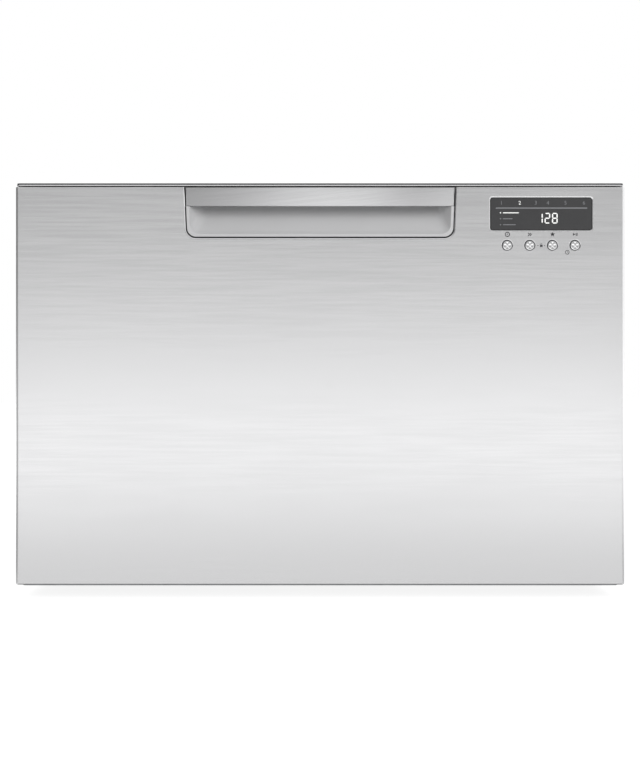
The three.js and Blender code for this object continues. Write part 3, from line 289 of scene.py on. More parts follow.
class Solid:
    """The mesh of one piece while it is being built, from closed shells."""

    def __init__(self) -> None:
        """Starts with nothing in it."""
        self.points: list[Vector] = []
        self.faces: list[tuple[int, ...]] = []

    def loft(self, rings: Sequence[Ring], closed: bool = False) -> "Solid":
        """Adds a skin through rings of points, with a flat cap at each end.

        Args:
            rings: as many points in each as in the next.
            closed: whether the last ring joins the first, with no caps.

        Returns:
            This solid, so that calls can follow each other.
        """
        start, count = len(self.points), len(rings[0])
        for ring in rings:
            self.points.extend(ring)
        for r in range(len(rings) if closed else len(rings) - 1):
            near, far = start + r * count, start + (r + 1) % len(rings) * count
            for k in range(count):
                after = (k + 1) % count
                self.faces.append((near + k, near + after, far + after, far + k))
        if not closed:
            last = start + (len(rings) - 1) * count
            self.faces.append(tuple(start + k for k in reversed(range(count))))
            self.faces.append(tuple(last + k for k in range(count)))
        return self

    def prism(self, axis: Axis, outline: Flat, span: Span) -> "Solid":
        """Adds an outline pushed along an axis."""
        return self.loft([axis.ring(outline, along) for along in span])

    def box(self, xs: Span, ys: Span, zs: Span) -> "Solid":
        """Adds a block between two values on each axis."""
        corners = [(xs[0], ys[0]), (xs[1], ys[0]), (xs[1], ys[1]), (xs[0], ys[1])]
        return self.prism(Axis.Z, corners, zs)

    def turned(self, axis: Axis, u: float, v: float, profile: Flat, sides: int = 40) -> "Solid":
        """Adds a turned shape.

        Args:
            axis: that it is turned about.
            u, v: where the axis stands.
            profile: (radius, place along the axis) from one end to the other.
            sides: of each ring.

        Returns:
            This solid.
        """
        return self.loft([axis.ring(circle(max(r, 0.02), u, v, sides), along) for r, along in profile])

    def ringed(self, axis: Axis, u: float, v: float, profile: Flat, sides: int = 40) -> "Solid":
        """Adds a turned ring, whose profile closes on itself."""
        return self.loft([axis.ring(circle(r, u, v, sides), along) for r, along in profile], closed=True)

    def edged(self, axis: Axis, shape: Shape, face: float, back: float, edge: float,
              steps: int = 4) -> "Solid":
        """Adds a plate whose front edge is rounded.

        Args:
            axis: that it faces along.
            shape: gives its outline, drawn in by a distance.
            face, back: places of its front and its back.
            edge: radius of the front edge.
            steps: straight steps in the rounding.

        Returns:
            This solid.
        """
        way = 1 if back > face else -1
        rings = [axis.ring(shape(edge * inset), face + way * edge * depth) for depth, inset in quarter(steps)]
        return self.loft([*rings, axis.ring(shape(0.0), back)])

    def tube(self, path: Sequence[Vector], radius: float, sides: int = 8, closed: bool = False,
             tip: float = 0.0) -> "Solid":
        """Adds a round bar or wire along a path.

        Args:
            path: the points of its centre line.
            radius: of the bar.
            sides: of its section.
            closed: whether it joins up with itself.
            tip: how far its two ends are rounded off.

        Returns:
            This solid.
        """
        steep, tip_share = 0.8, 0.55
        count = len(path)
        rings = []
        across = None
        for k, spot in enumerate(path):
            ahead = path[(k + 1) % count] if closed or k + 1 < count else spot
            behind = path[k - 1] if closed or k > 0 else spot
            along = (ahead - behind).normalized()
            if across is None:
                helper = Vector((0, 0, 1)) if abs(along.z) < steep else Vector((1, 0, 0))
                across = along.cross(helper)
            across = (across - along * across.dot(along)).normalized()
            other = along.cross(across)
            ring = [across * p + other * q for p, q in circle(radius, sides=sides)]
            rings.append([spot + p for p in ring])
            if tip and not closed and k in (0, count - 1):
                small = [spot + p * tip_share + along * (tip if k else -tip) for p in ring]
                rings.insert(len(rings) if k else 0, small)
        return self.loft(rings, closed=closed)

    def plate(self, axis: Axis, outline: Flat, holes: Iterable[Flat], span: Span,
              edge: float = 0.2) -> "Solid":
        """Adds a sheet with holes in it, all its edges slightly rounded.

        Args:
            axis: that the sheet is square to.
            outline: of the sheet.
            holes: their outlines.
            span: places of its two faces.
            edge: how far the edges are rounded.

        Returns:
            This solid.
        """
        curve = bpy.data.curves.new("sheet", "CURVE")
        curve.dimensions = "2D"
        curve.fill_mode = "BOTH"
        for number, loop in enumerate([outline, *holes]):
            area = sum(a[0] * b[1] - b[0] * a[1] for a, b in zip(loop, [*loop[1:], loop[0]]))
            points = loop if (area > 0) == (number == 0) else loop[::-1]
            spline = curve.splines.new("POLY")
            spline.points.add(len(points) - 1)
            for spot, (u, v) in zip(spline.points, points):
                spot.co = (u, v, 0, 1)
            spline.use_cyclic_u = True
        low, high = min(span), max(span)
        middle = (low + high) / 2
        curve.extrude = (high - low) / 2 - edge
        curve.bevel_depth = edge
        curve.bevel_resolution = 0
        curve.offset = -edge
        return self.add_curve(curve, lambda p: axis.point(p.x, p.y, middle + p.z))

    def number(self, text: str, u: float, v: float, height: float, span: Span) -> "Solid":
        """Adds a plain printed number, seen from the front.

        Args:
            text: the number.
            u, v: its middle.
            height: of its digits.
            span: the depths between which it lies.

        Returns:
            This solid.
        """
        digit_share = 0.7
        letters = bpy.data.curves.new("number", "FONT")
        letters.body = text
        letters.size = height / digit_share
        letters.align_x = "CENTER"
        letters.resolution_u = 3
        letters.extrude = abs(span[1] - span[0]) / 2
        middle = sum(span) / 2
        return self.add_curve(letters, lambda p: Vector((u + p.x, middle - p.z, v - height / 2 + p.y)))

    def ball(self, centre: Vector, radius: float) -> "Solid":
        """Adds a small ball."""
        profile = [(u, v + centre.z) for u, v in arc(0, 0, radius, -90, 90, 8)]
        return self.turned(Axis.Z, centre.x, centre.y, profile, 12)

    def add_mesh(self, mesh: bpy.types.Mesh, where: Callable[[Vector], Vector]) -> "Solid":
        """Adds the faces of a mesh.

        Args:
            mesh: that they are read from.
            where: takes each of its points to its place.

        Returns:
            This solid.
        """
        start = len(self.points)
        self.points.extend(where(v.co) for v in mesh.vertices)
        self.faces.extend(tuple(start + k for k in face.vertices) for face in mesh.polygons)
        return self

    def add_curve(self, curve: bpy.types.Curve, where: Callable[[Vector], Vector]) -> "Solid":
        """Adds the faces of a filled curve, and removes the curve.

        Args:
            curve: that they are made from.
            where: takes each of its points to its place.

        Returns:
            This solid.
        """
        holder = bpy.data.objects.new("curve", curve)
        mesh = bpy.data.meshes.new_from_object(holder)
        self.add_mesh(mesh, where)
        bpy.data.batch_remove([holder, curve, mesh])
        return self

    def add(self, other: "Solid") -> "Solid":
        """Adds the shells of another solid as they are.

        Args:
            other: the other one.

        Returns:
            This solid.
        """
        start = len(self.points)
        self.points.extend(other.points)
        self.faces.extend(tuple(start + k for k in face) for face in other.faces)
        return self

    def around(self, x: float, y: float, count: int, part: Callable[[], "Solid"]) -> "Solid":
        """Adds copies of a part, evenly turned about an upright axis.

        Args:
            x, y: where the axis stands.
            count: how many copies.
            part: makes one, placed as seen from the axis.

        Returns:
            This solid.
        """
        for k in range(count):
            turn = Matrix.Translation((x, y, 0)) @ Matrix.Rotation(math.tau * k / count, 4, "Z")
            self.add(part().moved(turn))
        return self

    def moved(self, matrix: Matrix) -> "Solid":
        """Moves everything in it."""
        self.points = [matrix @ p for p in self.points]
        return self

    def on_side(self, way: int) -> "Solid":
        """Leaves what is drawn for the right-hand side, or mirrors it to the left for -1."""
        return self if way > 0 else self.moved(MIRROR)

    def mesh(self, name: str, scale: float = MM) -> bpy.types.Mesh:
        """Makes the mesh, with its faces turned outwards.

        Args:
            name: of the mesh.
            scale: from these lengths to the mesh's.

        Returns:
            The mesh.
        """
        mesh = bpy.data.meshes.new(name)
        mesh.from_pydata([p * scale for p in self.points], [], self.faces)
        work = bmesh.new()
        work.from_mesh(mesh)
        bmesh.ops.remove_doubles(work, verts=work.verts, dist=1e-4 * scale)
        bmesh.ops.recalc_face_normals(work, faces=work.faces)
        work.to_mesh(mesh)
        work.free()
        return mesh

    def cut(self, *tools: "Solid") -> "Solid":
        """Cuts other solids out of this one.

        Args:
            tools: what is taken away.

        Returns:
            This solid, with what is left.
        """
        holder = hung("blank", self.mesh("blank", 1.0))
        used = [holder, holder.data]
        for tool in tools:
            knife = hung("knife", tool.mesh("knife", 1.0))
            change = holder.modifiers.new("cut", "BOOLEAN")
            change.operation = "DIFFERENCE"
            change.solver = "EXACT"
            change.object = knife
            used += [knife, knife.data]
        bpy.context.view_layer.update()
        depsgraph = bpy.context.evaluated_depsgraph_get()
        rest = bpy.data.meshes.new_from_object(holder.evaluated_get(depsgraph))
        self.points, self.faces = [], []
        self.add_mesh(rest, lambda p: p.copy())
        bpy.data.batch_remove([*used, rest])
        return self


# --- Finishes ---


def tone(code: str) -> Colour:
    """A colour as light.

    Args:
        code: its screen code, such as c9c9c8.

    Returns:
        Its red, green and blue.
    """
    parts = [int(code[k:k + 2], 16) / 255 for k in (0, 2, 4)]
    red, green, blue = (p / 12.92 if p <= 0.04045 else ((p + 0.055) / 1.055) ** 2.4 for p in parts)
    return red, green, blue


class Graph:
    """A node tree, with short ways to add to it."""

    def __init__(self, tree: bpy.types.NodeTree) -> None:
        """Takes the tree that it adds to."""
        self.tree = tree

    def link(self, source: Socket, target: Socket) -> None:
        """Joins two sockets."""
        self.tree.links.new(source, target)

    def node(self, kind: str, *sources: Socket, values: dict[str | int, object] | None = None,
             **settings: object) -> Node:
        """Adds a node.

        Args:
            kind: its type.
            sources: what feeds its inputs, from the first on.
            values: fixed values of its other inputs, by name or number.
            settings: its properties.

        Returns:
            The node.
        """
        node = self.tree.nodes.new(kind)
        for name, value in settings.items():
            setattr(node, name, value)
        for name, value in (values or {}).items():
            node.inputs[name].default_value = value
        for source, target in zip(sources, node.inputs):
            self.link(source, target)
        return node

    def place(self, stretch: Colour, slant: float = 0.0) -> Socket:
        """The place on the piece in metres.

        Args:
            stretch: what it is multiplied by on each axis.
            slant: how far it is turned about Y before that, in degrees.

        Returns:
            The place.
        """
        spot = self.node("ShaderNodeTexCoord").outputs["Object"]
        if slant:
            turn = {"Rotation": (0, math.radians(slant), 0)}
            spot = self.node("ShaderNodeMapping", spot, values=turn).outputs["Vector"]
        return self.node("ShaderNodeMapping", spot, values={"Scale": stretch}).outputs["Vector"]

    def noise(self, stretch: float | Colour, detail: float = 2.0, distortion: float = 0.0,
              slant: float = 0.0) -> Socket:
        """Soft noise.

        Args:
            stretch: how many spots to the metre, alike on every axis or for each one.
            detail: how many finer layers it has.
            distortion: how far it is warped.
            slant: how far it is turned about Y, in degrees.

        Returns:
            Its value, from 0 to 1.
        """
        scale = stretch if isinstance(stretch, tuple) else (stretch, stretch, stretch)
        values = {"Scale": 1.0, "Detail": detail, "Distortion": distortion}
        return self.node("ShaderNodeTexNoise", self.place(scale, slant), values=values).outputs["Fac"]

    def ranged(self, source: Socket, low: float, high: float, start: float = 0.3,
               end: float = 0.7) -> Socket:
        """A value carried over from start to end into low to high."""
        values = {"From Min": start, "From Max": end, "To Min": low, "To Max": high}
        return self.node("ShaderNodeMapRange", source, values=values).outputs["Result"]

    def ramp(self, source: Socket, stops: Stops, curve: str = "LINEAR") -> Socket:
        """A grey tone that follows a value.

        Args:
            source: the value.
            stops: (value, tone), in order.
            curve: how the tone goes from stop to stop.

        Returns:
            The tone.
        """
        first, last = stops[0][0], stops[-1][0]
        ramp = self.node("ShaderNodeValToRGB", self.ranged(source, 0, 1, first, last))
        ramp.color_ramp.interpolation = curve
        elements = ramp.color_ramp.elements
        while len(elements) < len(stops):
            elements.new(0.5)
        for element, (spot, level) in zip(elements, stops):
            element.position = (spot - first) / (last - first)
            element.color = (level, level, level, 1)
        return ramp.outputs["Color"]

    def mixed(self, share: Socket, low: Colour, high: Colour) -> Socket:
        """A colour between two, by a share from 0 to 1."""
        values = {6: (*low, 1), 7: (*high, 1)}
        return self.node("ShaderNodeMix", share, values=values, data_type="RGBA").outputs[2]

    def blend(self, kind: str, first: Socket, second: Socket) -> Socket:
        """Two colours put together.

        Args:
            kind: how, such as MULTIPLY.
            first, second: the colours.

        Returns:
            The outcome.
        """
        mix = self.node("ShaderNodeMix", values={0: 1.0}, data_type="RGBA", blend_type=kind)
        self.link(first, mix.inputs[6])
        self.link(second, mix.inputs[7])
        return mix.outputs[2]

    def both(self, first: Socket, second: Socket, operation: str = "MULTIPLY") -> Socket:
        """Two values put together."""
        return self.node("ShaderNodeMath", first, second, operation=operation).outputs[0]

    def split(self, vector: Socket) -> Node:
        """Takes a place apart into X, Y and Z."""
        return self.node("ShaderNodeSeparateXYZ", vector)


class Surface(Graph):
    """The node tree of a new material, around its one shader."""

    def __init__(self, name: str) -> None:
        """Starts the material.

        Args:
            name: of the material.
        """
        self.material = bpy.data.materials.new(name)
        self.material.use_nodes = True
        super().__init__(self.material.node_tree)
        self.shader = next(n for n in self.tree.nodes if n.type == "BSDF_PRINCIPLED")

    def set(self, **values: object) -> None:
        """Sets sockets of the shader; an underscore in a name stands for a space."""
        for name, value in values.items():
            self.shader.inputs[name.replace("_", " ")].default_value = value

    def feed(self, name: str, source: Socket) -> None:
        """Links a socket of the shader."""
        self.link(source, self.shader.inputs[name])

    def dent(self, height: Socket, depth: float, strength: float = 1.0) -> None:
        """Gives the surface a relief.

        Args:
            height: its shape, from 0 to 1.
            depth: in millimetres.
            strength: how much of it is felt.
        """
        bump = self.node("ShaderNodeBump", values={"Distance": depth * MM, "Strength": strength})
        self.link(height, bump.inputs["Height"])
        self.feed("Normal", bump.outputs["Normal"])


class Grain(Enum):
    """What the surface of a finish is like."""

    BRUSHED = "fine lines along X"
    SPUN = "bright turned metal"
    SPANGLE = "hot-dip zinc"
    MOULDED = "fine-grained plastic"
    METALLIC_PAINT = "silver paint"
    COATED = "dipped nylon"
    RUBBER = "dusty rubber"
    GLASS = "smoked glass"
    BOARD = "tracked circuit board"
    WOUND = "wound wire"
    PRINT = "printed or lit mark"


@dataclass(frozen=True)
class Finish:
    """How one material looks."""

    name: str
    slot: str
    colour: str
    roughness: float
    grain: Grain
    metallic: float = 0.0
    wander: float = 0.06
    glow: float = 0.0
    slant: float = 0.0
    # Painted reflection: a tone ramp along X, in millimetres, multiplied into the colour.
    sweep: Stops = ()

    def shades(self, share: float) -> tuple[Colour, Colour]:
        """A darker and a lighter shade of the colour."""
        base = tone(self.colour)
        return tuple(c * (1 - share) for c in base), tuple(min(1.0, c * (1 + share)) for c in base)

    def material(self) -> bpy.types.Material:
        """The material, made once and shared by the pieces of this finish."""
        label = f"{self.name}_finish"
        return bpy.data.materials.get(label) or Coat(label, self).material


class Coat(Surface):
    """The nodes that give a material one finish."""

    def __init__(self, label: str, finish: Finish) -> None:
        """Makes the material.

        Args:
            label: its name.
            finish: how it looks.
        """
        super().__init__(label)
        self.finish = finish
        self.set(Roughness=finish.roughness, Metallic=finish.metallic, Base_Color=(*tone(finish.colour), 1))
        makers = {
            Grain.BRUSHED: self.brushed,
            Grain.SPUN: self.spun,
            Grain.SPANGLE: self.spangle,
            Grain.MOULDED: self.moulded,
            Grain.METALLIC_PAINT: self.painted,
            Grain.COATED: self.coated,
            Grain.RUBBER: self.rubbery,
            Grain.GLASS: self.smoked,
            Grain.BOARD: self.tracked,
            Grain.WOUND: self.wound,
            Grain.PRINT: self.printed,
        }
        makers[finish.grain]()

    def tint(self, share: Socket) -> None:
        """Lets the colour wander between its two shades, by a share from 0 to 1."""
        self.feed("Base Color", self.mixed(share, *self.finish.shades(self.finish.wander)))

    def gloss(self, value: Socket, less: float, more: float, start: float = 0.3,
              end: float = 0.7) -> None:
        """Lets the roughness follow a value.

        Args:
            value: what it follows.
            less, more: how far it goes below and above the finish's own.
            start, end: the value at these two.
        """
        low, high = self.finish.roughness - less, self.finish.roughness + more
        self.feed("Roughness", self.ranged(value, low, high, start, end))

    def brushed(self) -> None:
        """Fine scratches along X, in a few lengths, slanted where the finish says so, with a painted
        reflection: a tone ramp along X where the finish gives one.
        """
        hair = self.noise((18, 1600, 1600), 3, slant=self.finish.slant)
        scratch = self.noise((12, 480, 480), 4, slant=self.finish.slant)
        grain = self.both(self.ranged(hair, 0, 1), self.ranged(scratch, 0, 1), "ADD")
        colour = self.mixed(self.ranged(grain, 0, 1, 0.6, 1.4), *self.finish.shades(self.finish.wander))
        # Painted reflection: the colour is darkened and lightened along X by the finish's ramp.
        if self.finish.sweep:
            across = self.split(self.place((1, 1, 1))).outputs[0]
            stops = [(spot * MM, level) for spot, level in self.finish.sweep]
            colour = self.blend("MULTIPLY", colour, self.ramp(across, stops, "B_SPLINE"))
        self.feed("Base Color", colour)
        self.gloss(grain, 0.02, 0.02, 0.6, 1.4)
        self.dent(hair, 0.00025)
        self.set(Anisotropic=0.6, Anisotropic_Rotation=0.25)

    def spun(self) -> None:
        """Bright metal with the least grain."""
        fine = self.noise(900)
        self.tint(self.ranged(fine, 0, 1))
        self.gloss(fine, 0.04, 0.06)
        self.dent(fine, 0.004)

    def spangle(self) -> None:
        """Crystals a few millimetres across that differ in tone and gloss, with a fine rolled grain."""
        place = self.place((130, 130, 130))
        cells = self.node("ShaderNodeTexVoronoi", place, values={"Scale": 1.0})
        parts = self.node("ShaderNodeSeparateColor", cells.outputs["Color"])
        rolled = self.noise((500, 40, 500), 3)
        share = self.both(parts.outputs[0], rolled, "ADD")
        self.tint(self.ranged(share, 0, 1, 0.3, 1.7))
        self.gloss(parts.outputs[1], 0.05, 0.05, 0, 1)
        self.dent(rolled, 0.004)

    def moulded(self) -> None:
        """A spark-eroded texture and slow changes of tone."""
        fine = self.noise(1700)
        slow = self.noise(14, 2, 0.4)
        self.tint(self.both(self.ranged(fine, 0, 0.4), self.ranged(slow, 0, 0.6), "ADD"))
        self.gloss(slow, 0.05, 0.05)
        self.dent(fine, 0.03, 0.7)

    def painted(self) -> None:
        """Silver paint on plastic: tiny flakes under a satin coat."""
        flakes = self.noise(3500, 1)
        slow = self.noise(20)
        self.tint(self.both(self.ranged(flakes, 0, 0.6), self.ranged(slow, 0, 0.4), "ADD"))
        self.gloss(slow, 0.04, 0.04)
        self.dent(flakes, 0.006, 0.6)
        self.set(Coat_Weight=0.25, Coat_Roughness=0.3)

    def coated(self) -> None:
        """A dipped coat with a slight orange peel."""
        peel = self.noise(420)
        self.tint(self.ranged(self.noise(30), 0, 1))
        self.dent(peel, 0.06, 0.6)
        self.set(Coat_Weight=0.2, Coat_Roughness=0.25)

    def rubbery(self) -> None:
        """Matt rubber with a faint bloom."""
        fine = self.noise(1200, 3)
        bloom = self.noise(40, 3)
        self.tint(self.ranged(bloom, 0, 1))
        self.gloss(bloom, 0.08, 0.05)
        self.dent(fine, 0.03)

    def smoked(self) -> None:
        """Smooth dark glass, its gloss a little uneven."""
        slow = self.noise(60)
        self.tint(self.ranged(slow, 0, 1))
        self.gloss(slow, 0.02, 0.03)
        self.set(Specular_IOR_Level=0.35)

    def tracked(self) -> None:
        """Green lacquer over copper tracks."""
        low, high = self.finish.shades(0.25)
        values = {"Scale": 1.0, "Mortar Size": 0.08, "Color1": (*low, 1),
                  "Color2": (*tone(self.finish.colour), 1), "Mortar": (*high, 1)}
        tracks = self.node("ShaderNodeTexBrick", self.place((260, 260, 260)), values=values)
        self.feed("Base Color", tracks.outputs["Color"])
        self.dent(tracks.outputs["Fac"], 0.04)

    def wound(self) -> None:
        """Turns of lacquered wire, one above the other."""
        values = {"Scale": 1.0, "Distortion": 0.3}
        place = self.place((400, 400, 400))
        turns = self.node("ShaderNodeTexWave", place, values=values, bands_direction="Z").outputs["Fac"]
        self.feed("Base Color", self.mixed(turns, *self.finish.shades(0.3)))
        self.dent(turns, 0.3)

    def printed(self) -> None:
        """Ink or a lit segment, with the least unevenness."""
        self.tint(self.ranged(self.noise(800), 0, 1))
        if self.finish.glow:
            self.set(Emission_Color=(*tone(self.finish.colour), 1), Emission_Strength=self.finish.glow)


# Painted reflection on the handle bar: its tone along X, darker at the left end and brightest in the middle,
# standing in for how the bar reflects the room.
BAR_PAINTED_SHEEN = ((-133, 0.52), (-100, 0.6), (-60, 0.76), (-20, 0.97), (20, 1.0), (55, 0.93), (85, 0.76),
             (110, 0.78), (133, 0.86))
STEEL = Finish("brushed_steel", "brushed_steel", "e2e2e3", 0.22, Grain.BRUSHED, 1.0, 0.014)
BAR_STEEL = Finish("bar_steel", "brushed_steel", "cacacb", 0.2, Grain.BRUSHED, 1.0, 0.035, slant=6,
                   sweep=BAR_PAINTED_SHEEN)
TRIM = Finish("satin_trim", "satin_trim", "c3c3c4", 0.28, Grain.BRUSHED, 1.0, 0.03)
# Painted shade: the dark line along the top edge of the panel, given to the strip on the trim.
TOP_EDGE_SHADE = Finish("top_edge_painted_shade", "rubber", "38393b", 0.6, Grain.RUBBER, 0.0, 0.1)
GASKET = Finish("foam_gasket", "rubber", "1c1c1e", 0.9, Grain.RUBBER, 0.0, 0.2)
BUTTON = Finish("button_metal", "satin_trim", "e9e9ea", 0.19, Grain.SPUN, 1.0, 0.02)
SILVER = Finish("silver_plastic", "silver_plastic", "d2d2d3", 0.5, Grain.METALLIC_PAINT, 0.0, 0.02)
GLASS = Finish("dark_glass", "dark_glass", "464647", 0.12, Grain.GLASS, 0.0, 0.02)
CHARCOAL = Finish("charcoal_plastic", "charcoal_plastic", "4a4c4e", 0.55, Grain.MOULDED, 0.0, 0.12)
BLACK = Finish("black_plastic", "black_plastic", "252628", 0.5, Grain.MOULDED, 0.0, 0.15)
WHITE = Finish("white_plastic", "white_plastic", "e2e3e2", 0.45, Grain.MOULDED, 0.0, 0.03)
TUB_GREY = Finish("grey_tub", "grey_tub", "b3b8bb", 0.42, Grain.MOULDED, 0.0, 0.05)
LID_GREY = Finish("pale_lid", "pale_lid", "d2d4d5", 0.45, Grain.MOULDED, 0.0, 0.04)
ZINC = Finish("zinc_sheet", "zinc_sheet", "bfc2c4", 0.42, Grain.SPANGLE, 1.0, 0.08)
SCREW = Finish("screw_steel", "zinc_sheet", "c2c2c0", 0.3, Grain.SPUN, 1.0, 0.08)
PLATE = Finish("stainless_plate", "stainless_plate", "bdbebe", 0.3, Grain.SPUN, 1.0, 0.05)
WIRE = Finish("coated_wire", "coated_wire", "9aa1a7", 0.4, Grain.COATED, 0.0, 0.05)
RUBBER = Finish("rubber", "rubber", "2a2b2d", 0.75, Grain.RUBBER, 0.0, 0.25)
CIRCUIT = Finish("circuit_board", "circuit_board", "2f5e45", 0.4, Grain.BOARD)
WINDINGS = Finish("motor_windings", "motor_windings", "9c5a35", 0.4, Grain.WOUND, 0.8)
INK = Finish("printed_ink", "charcoal_plastic", "2e2f31", 0.5, Grain.PRINT, 0.0, 0.04)
LIT = Finish("lit_mark", "white_plastic", "f0f1ef", 0.5, Grain.PRINT, 0.0, 0.02, 0.35)
HALF_LIT = Finish("dim_mark", "dark_glass", "808184", 0.5, Grain.PRINT, 0.0, 0.02)


# --- Sub-assemblies ---


@dataclass
class Assembly:
    """Pieces that belong together."""

    body: str = "drawer"
    made: list[bpy.types.Object] = field(default_factory=list, init=False, repr=False)

    def add(self, name: str, solid: Solid, finish: Finish, replaces: Sequence[str] = (), body: str = "",
            bevel: float = 0.0, crease: float = CREASE) -> None:
        """Makes a piece and sets it on its body.

        Args:
            name: of the piece.
            solid: its mesh.
            finish: its finish.
            replaces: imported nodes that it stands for.
            body: that it rides on, where it isn't this assembly's own.
            bevel: how far its sharp edges are rounded.
            crease: an edge sharper than this many degrees stays an edge.
        """
        piece = hung(name, solid.mesh(name))
        piece.data.materials.append(finish.material())
        soften(piece, bevel, crease)
        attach(piece, body or self.body)
        if replaces:
            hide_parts(*replaces)
        self.made.append(piece)

    def dress(self, node: str, finish: Finish, bevel: float = 0.3) -> None:
        """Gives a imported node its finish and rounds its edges.

        Args:
            node: its name.
            finish: its finish.
            bevel: how far its sharp edges are rounded.
        """
        piece = FRAME["nodes"][node]
        piece.data.materials.clear()
        piece.data.materials.append(finish.material())
        merge = piece.modifiers.new("merge_flats", "DECIMATE")
        merge.decimate_type = "DISSOLVE"
        merge.angle_limit = math.radians(1)
        soften(piece, bevel, CREASE)
        self.made.append(piece)

    def build(self) -> None:
        """Makes every piece of the sub-assembly."""
        raise NotImplementedError


def soften(piece: bpy.types.Object, bevel: float, crease: float) -> None:
    """Rounds a piece's sharp edges and shades it as one smooth surface between them.

    Args:
        piece: its mesh isn't changed, apart from how it is shaded.
        bevel: radius in millimetres, or 0 to leave the edges as they are.
        crease: in degrees; a sharper edge is rounded, or stays an edge.
    """
    piece.data.shade_smooth()
    if bevel:
        rounding = piece.modifiers.new("rounded_edges", "BEVEL")
        rounding.width = bevel * MM
        rounding.segments = 2
        rounding.limit_method = "ANGLE"
        rounding.angle_limit = math.radians(crease)
        rounding.use_clamp_overlap = True
    else:
        piece.data.set_sharp_from_angle(angle=math.radians(crease))
    shading = piece.modifiers.new("flat_faces", "WEIGHTED_NORMAL")
    shading.keep_sharp = True


def screw_head(axis: Axis, u: float, v: float, base: float, out: float, radius: float = 3.6) -> Solid:
    """A pan-head screw with a cross in it.

    Args:
        axis: that it is driven along.
        u, v: its place.
        base: the surface that it sits on.
        out: how far its head stands out, negative towards lower values.
        radius: of the head.

    Returns:
        The head.
    """
    rise = [(radius, base), (radius, base + 0.35 * out), (0.85 * radius, base + 0.8 * out),
            (0.5 * radius, base + out), (0.0, base + out)]
    head = Solid().turned(axis, u, v, rise, 20)
    deep = (base + 0.35 * out, base + 1.4 * out)
    arm, thin = radius * 0.55, radius * 0.12
    cross = [rounded_box(about(u, p), about(v, q), 0.1, 1) for p, q in ((arm, thin), (thin, arm))]
    return head.cut(*(Solid().prism(axis, slit, deep) for slit in cross))


def screw_heads(axis: Axis, places: Iterable[tuple[float, float]], base: float, out: float,
                radius: float = 3.6) -> Solid:
    """Screws of one kind in one surface.

    Args:
        axis: that they are driven along.
        places: (u, v) of each.
        base: the surface that they sit on.
        out: how far their heads stand out, negative towards lower values.
        radius: of a head.

    Returns:
        The heads.
    """
    heads = Solid()
    for u, v in places:
        heads.add(screw_head(axis, u, v, base, out, radius))
    return heads


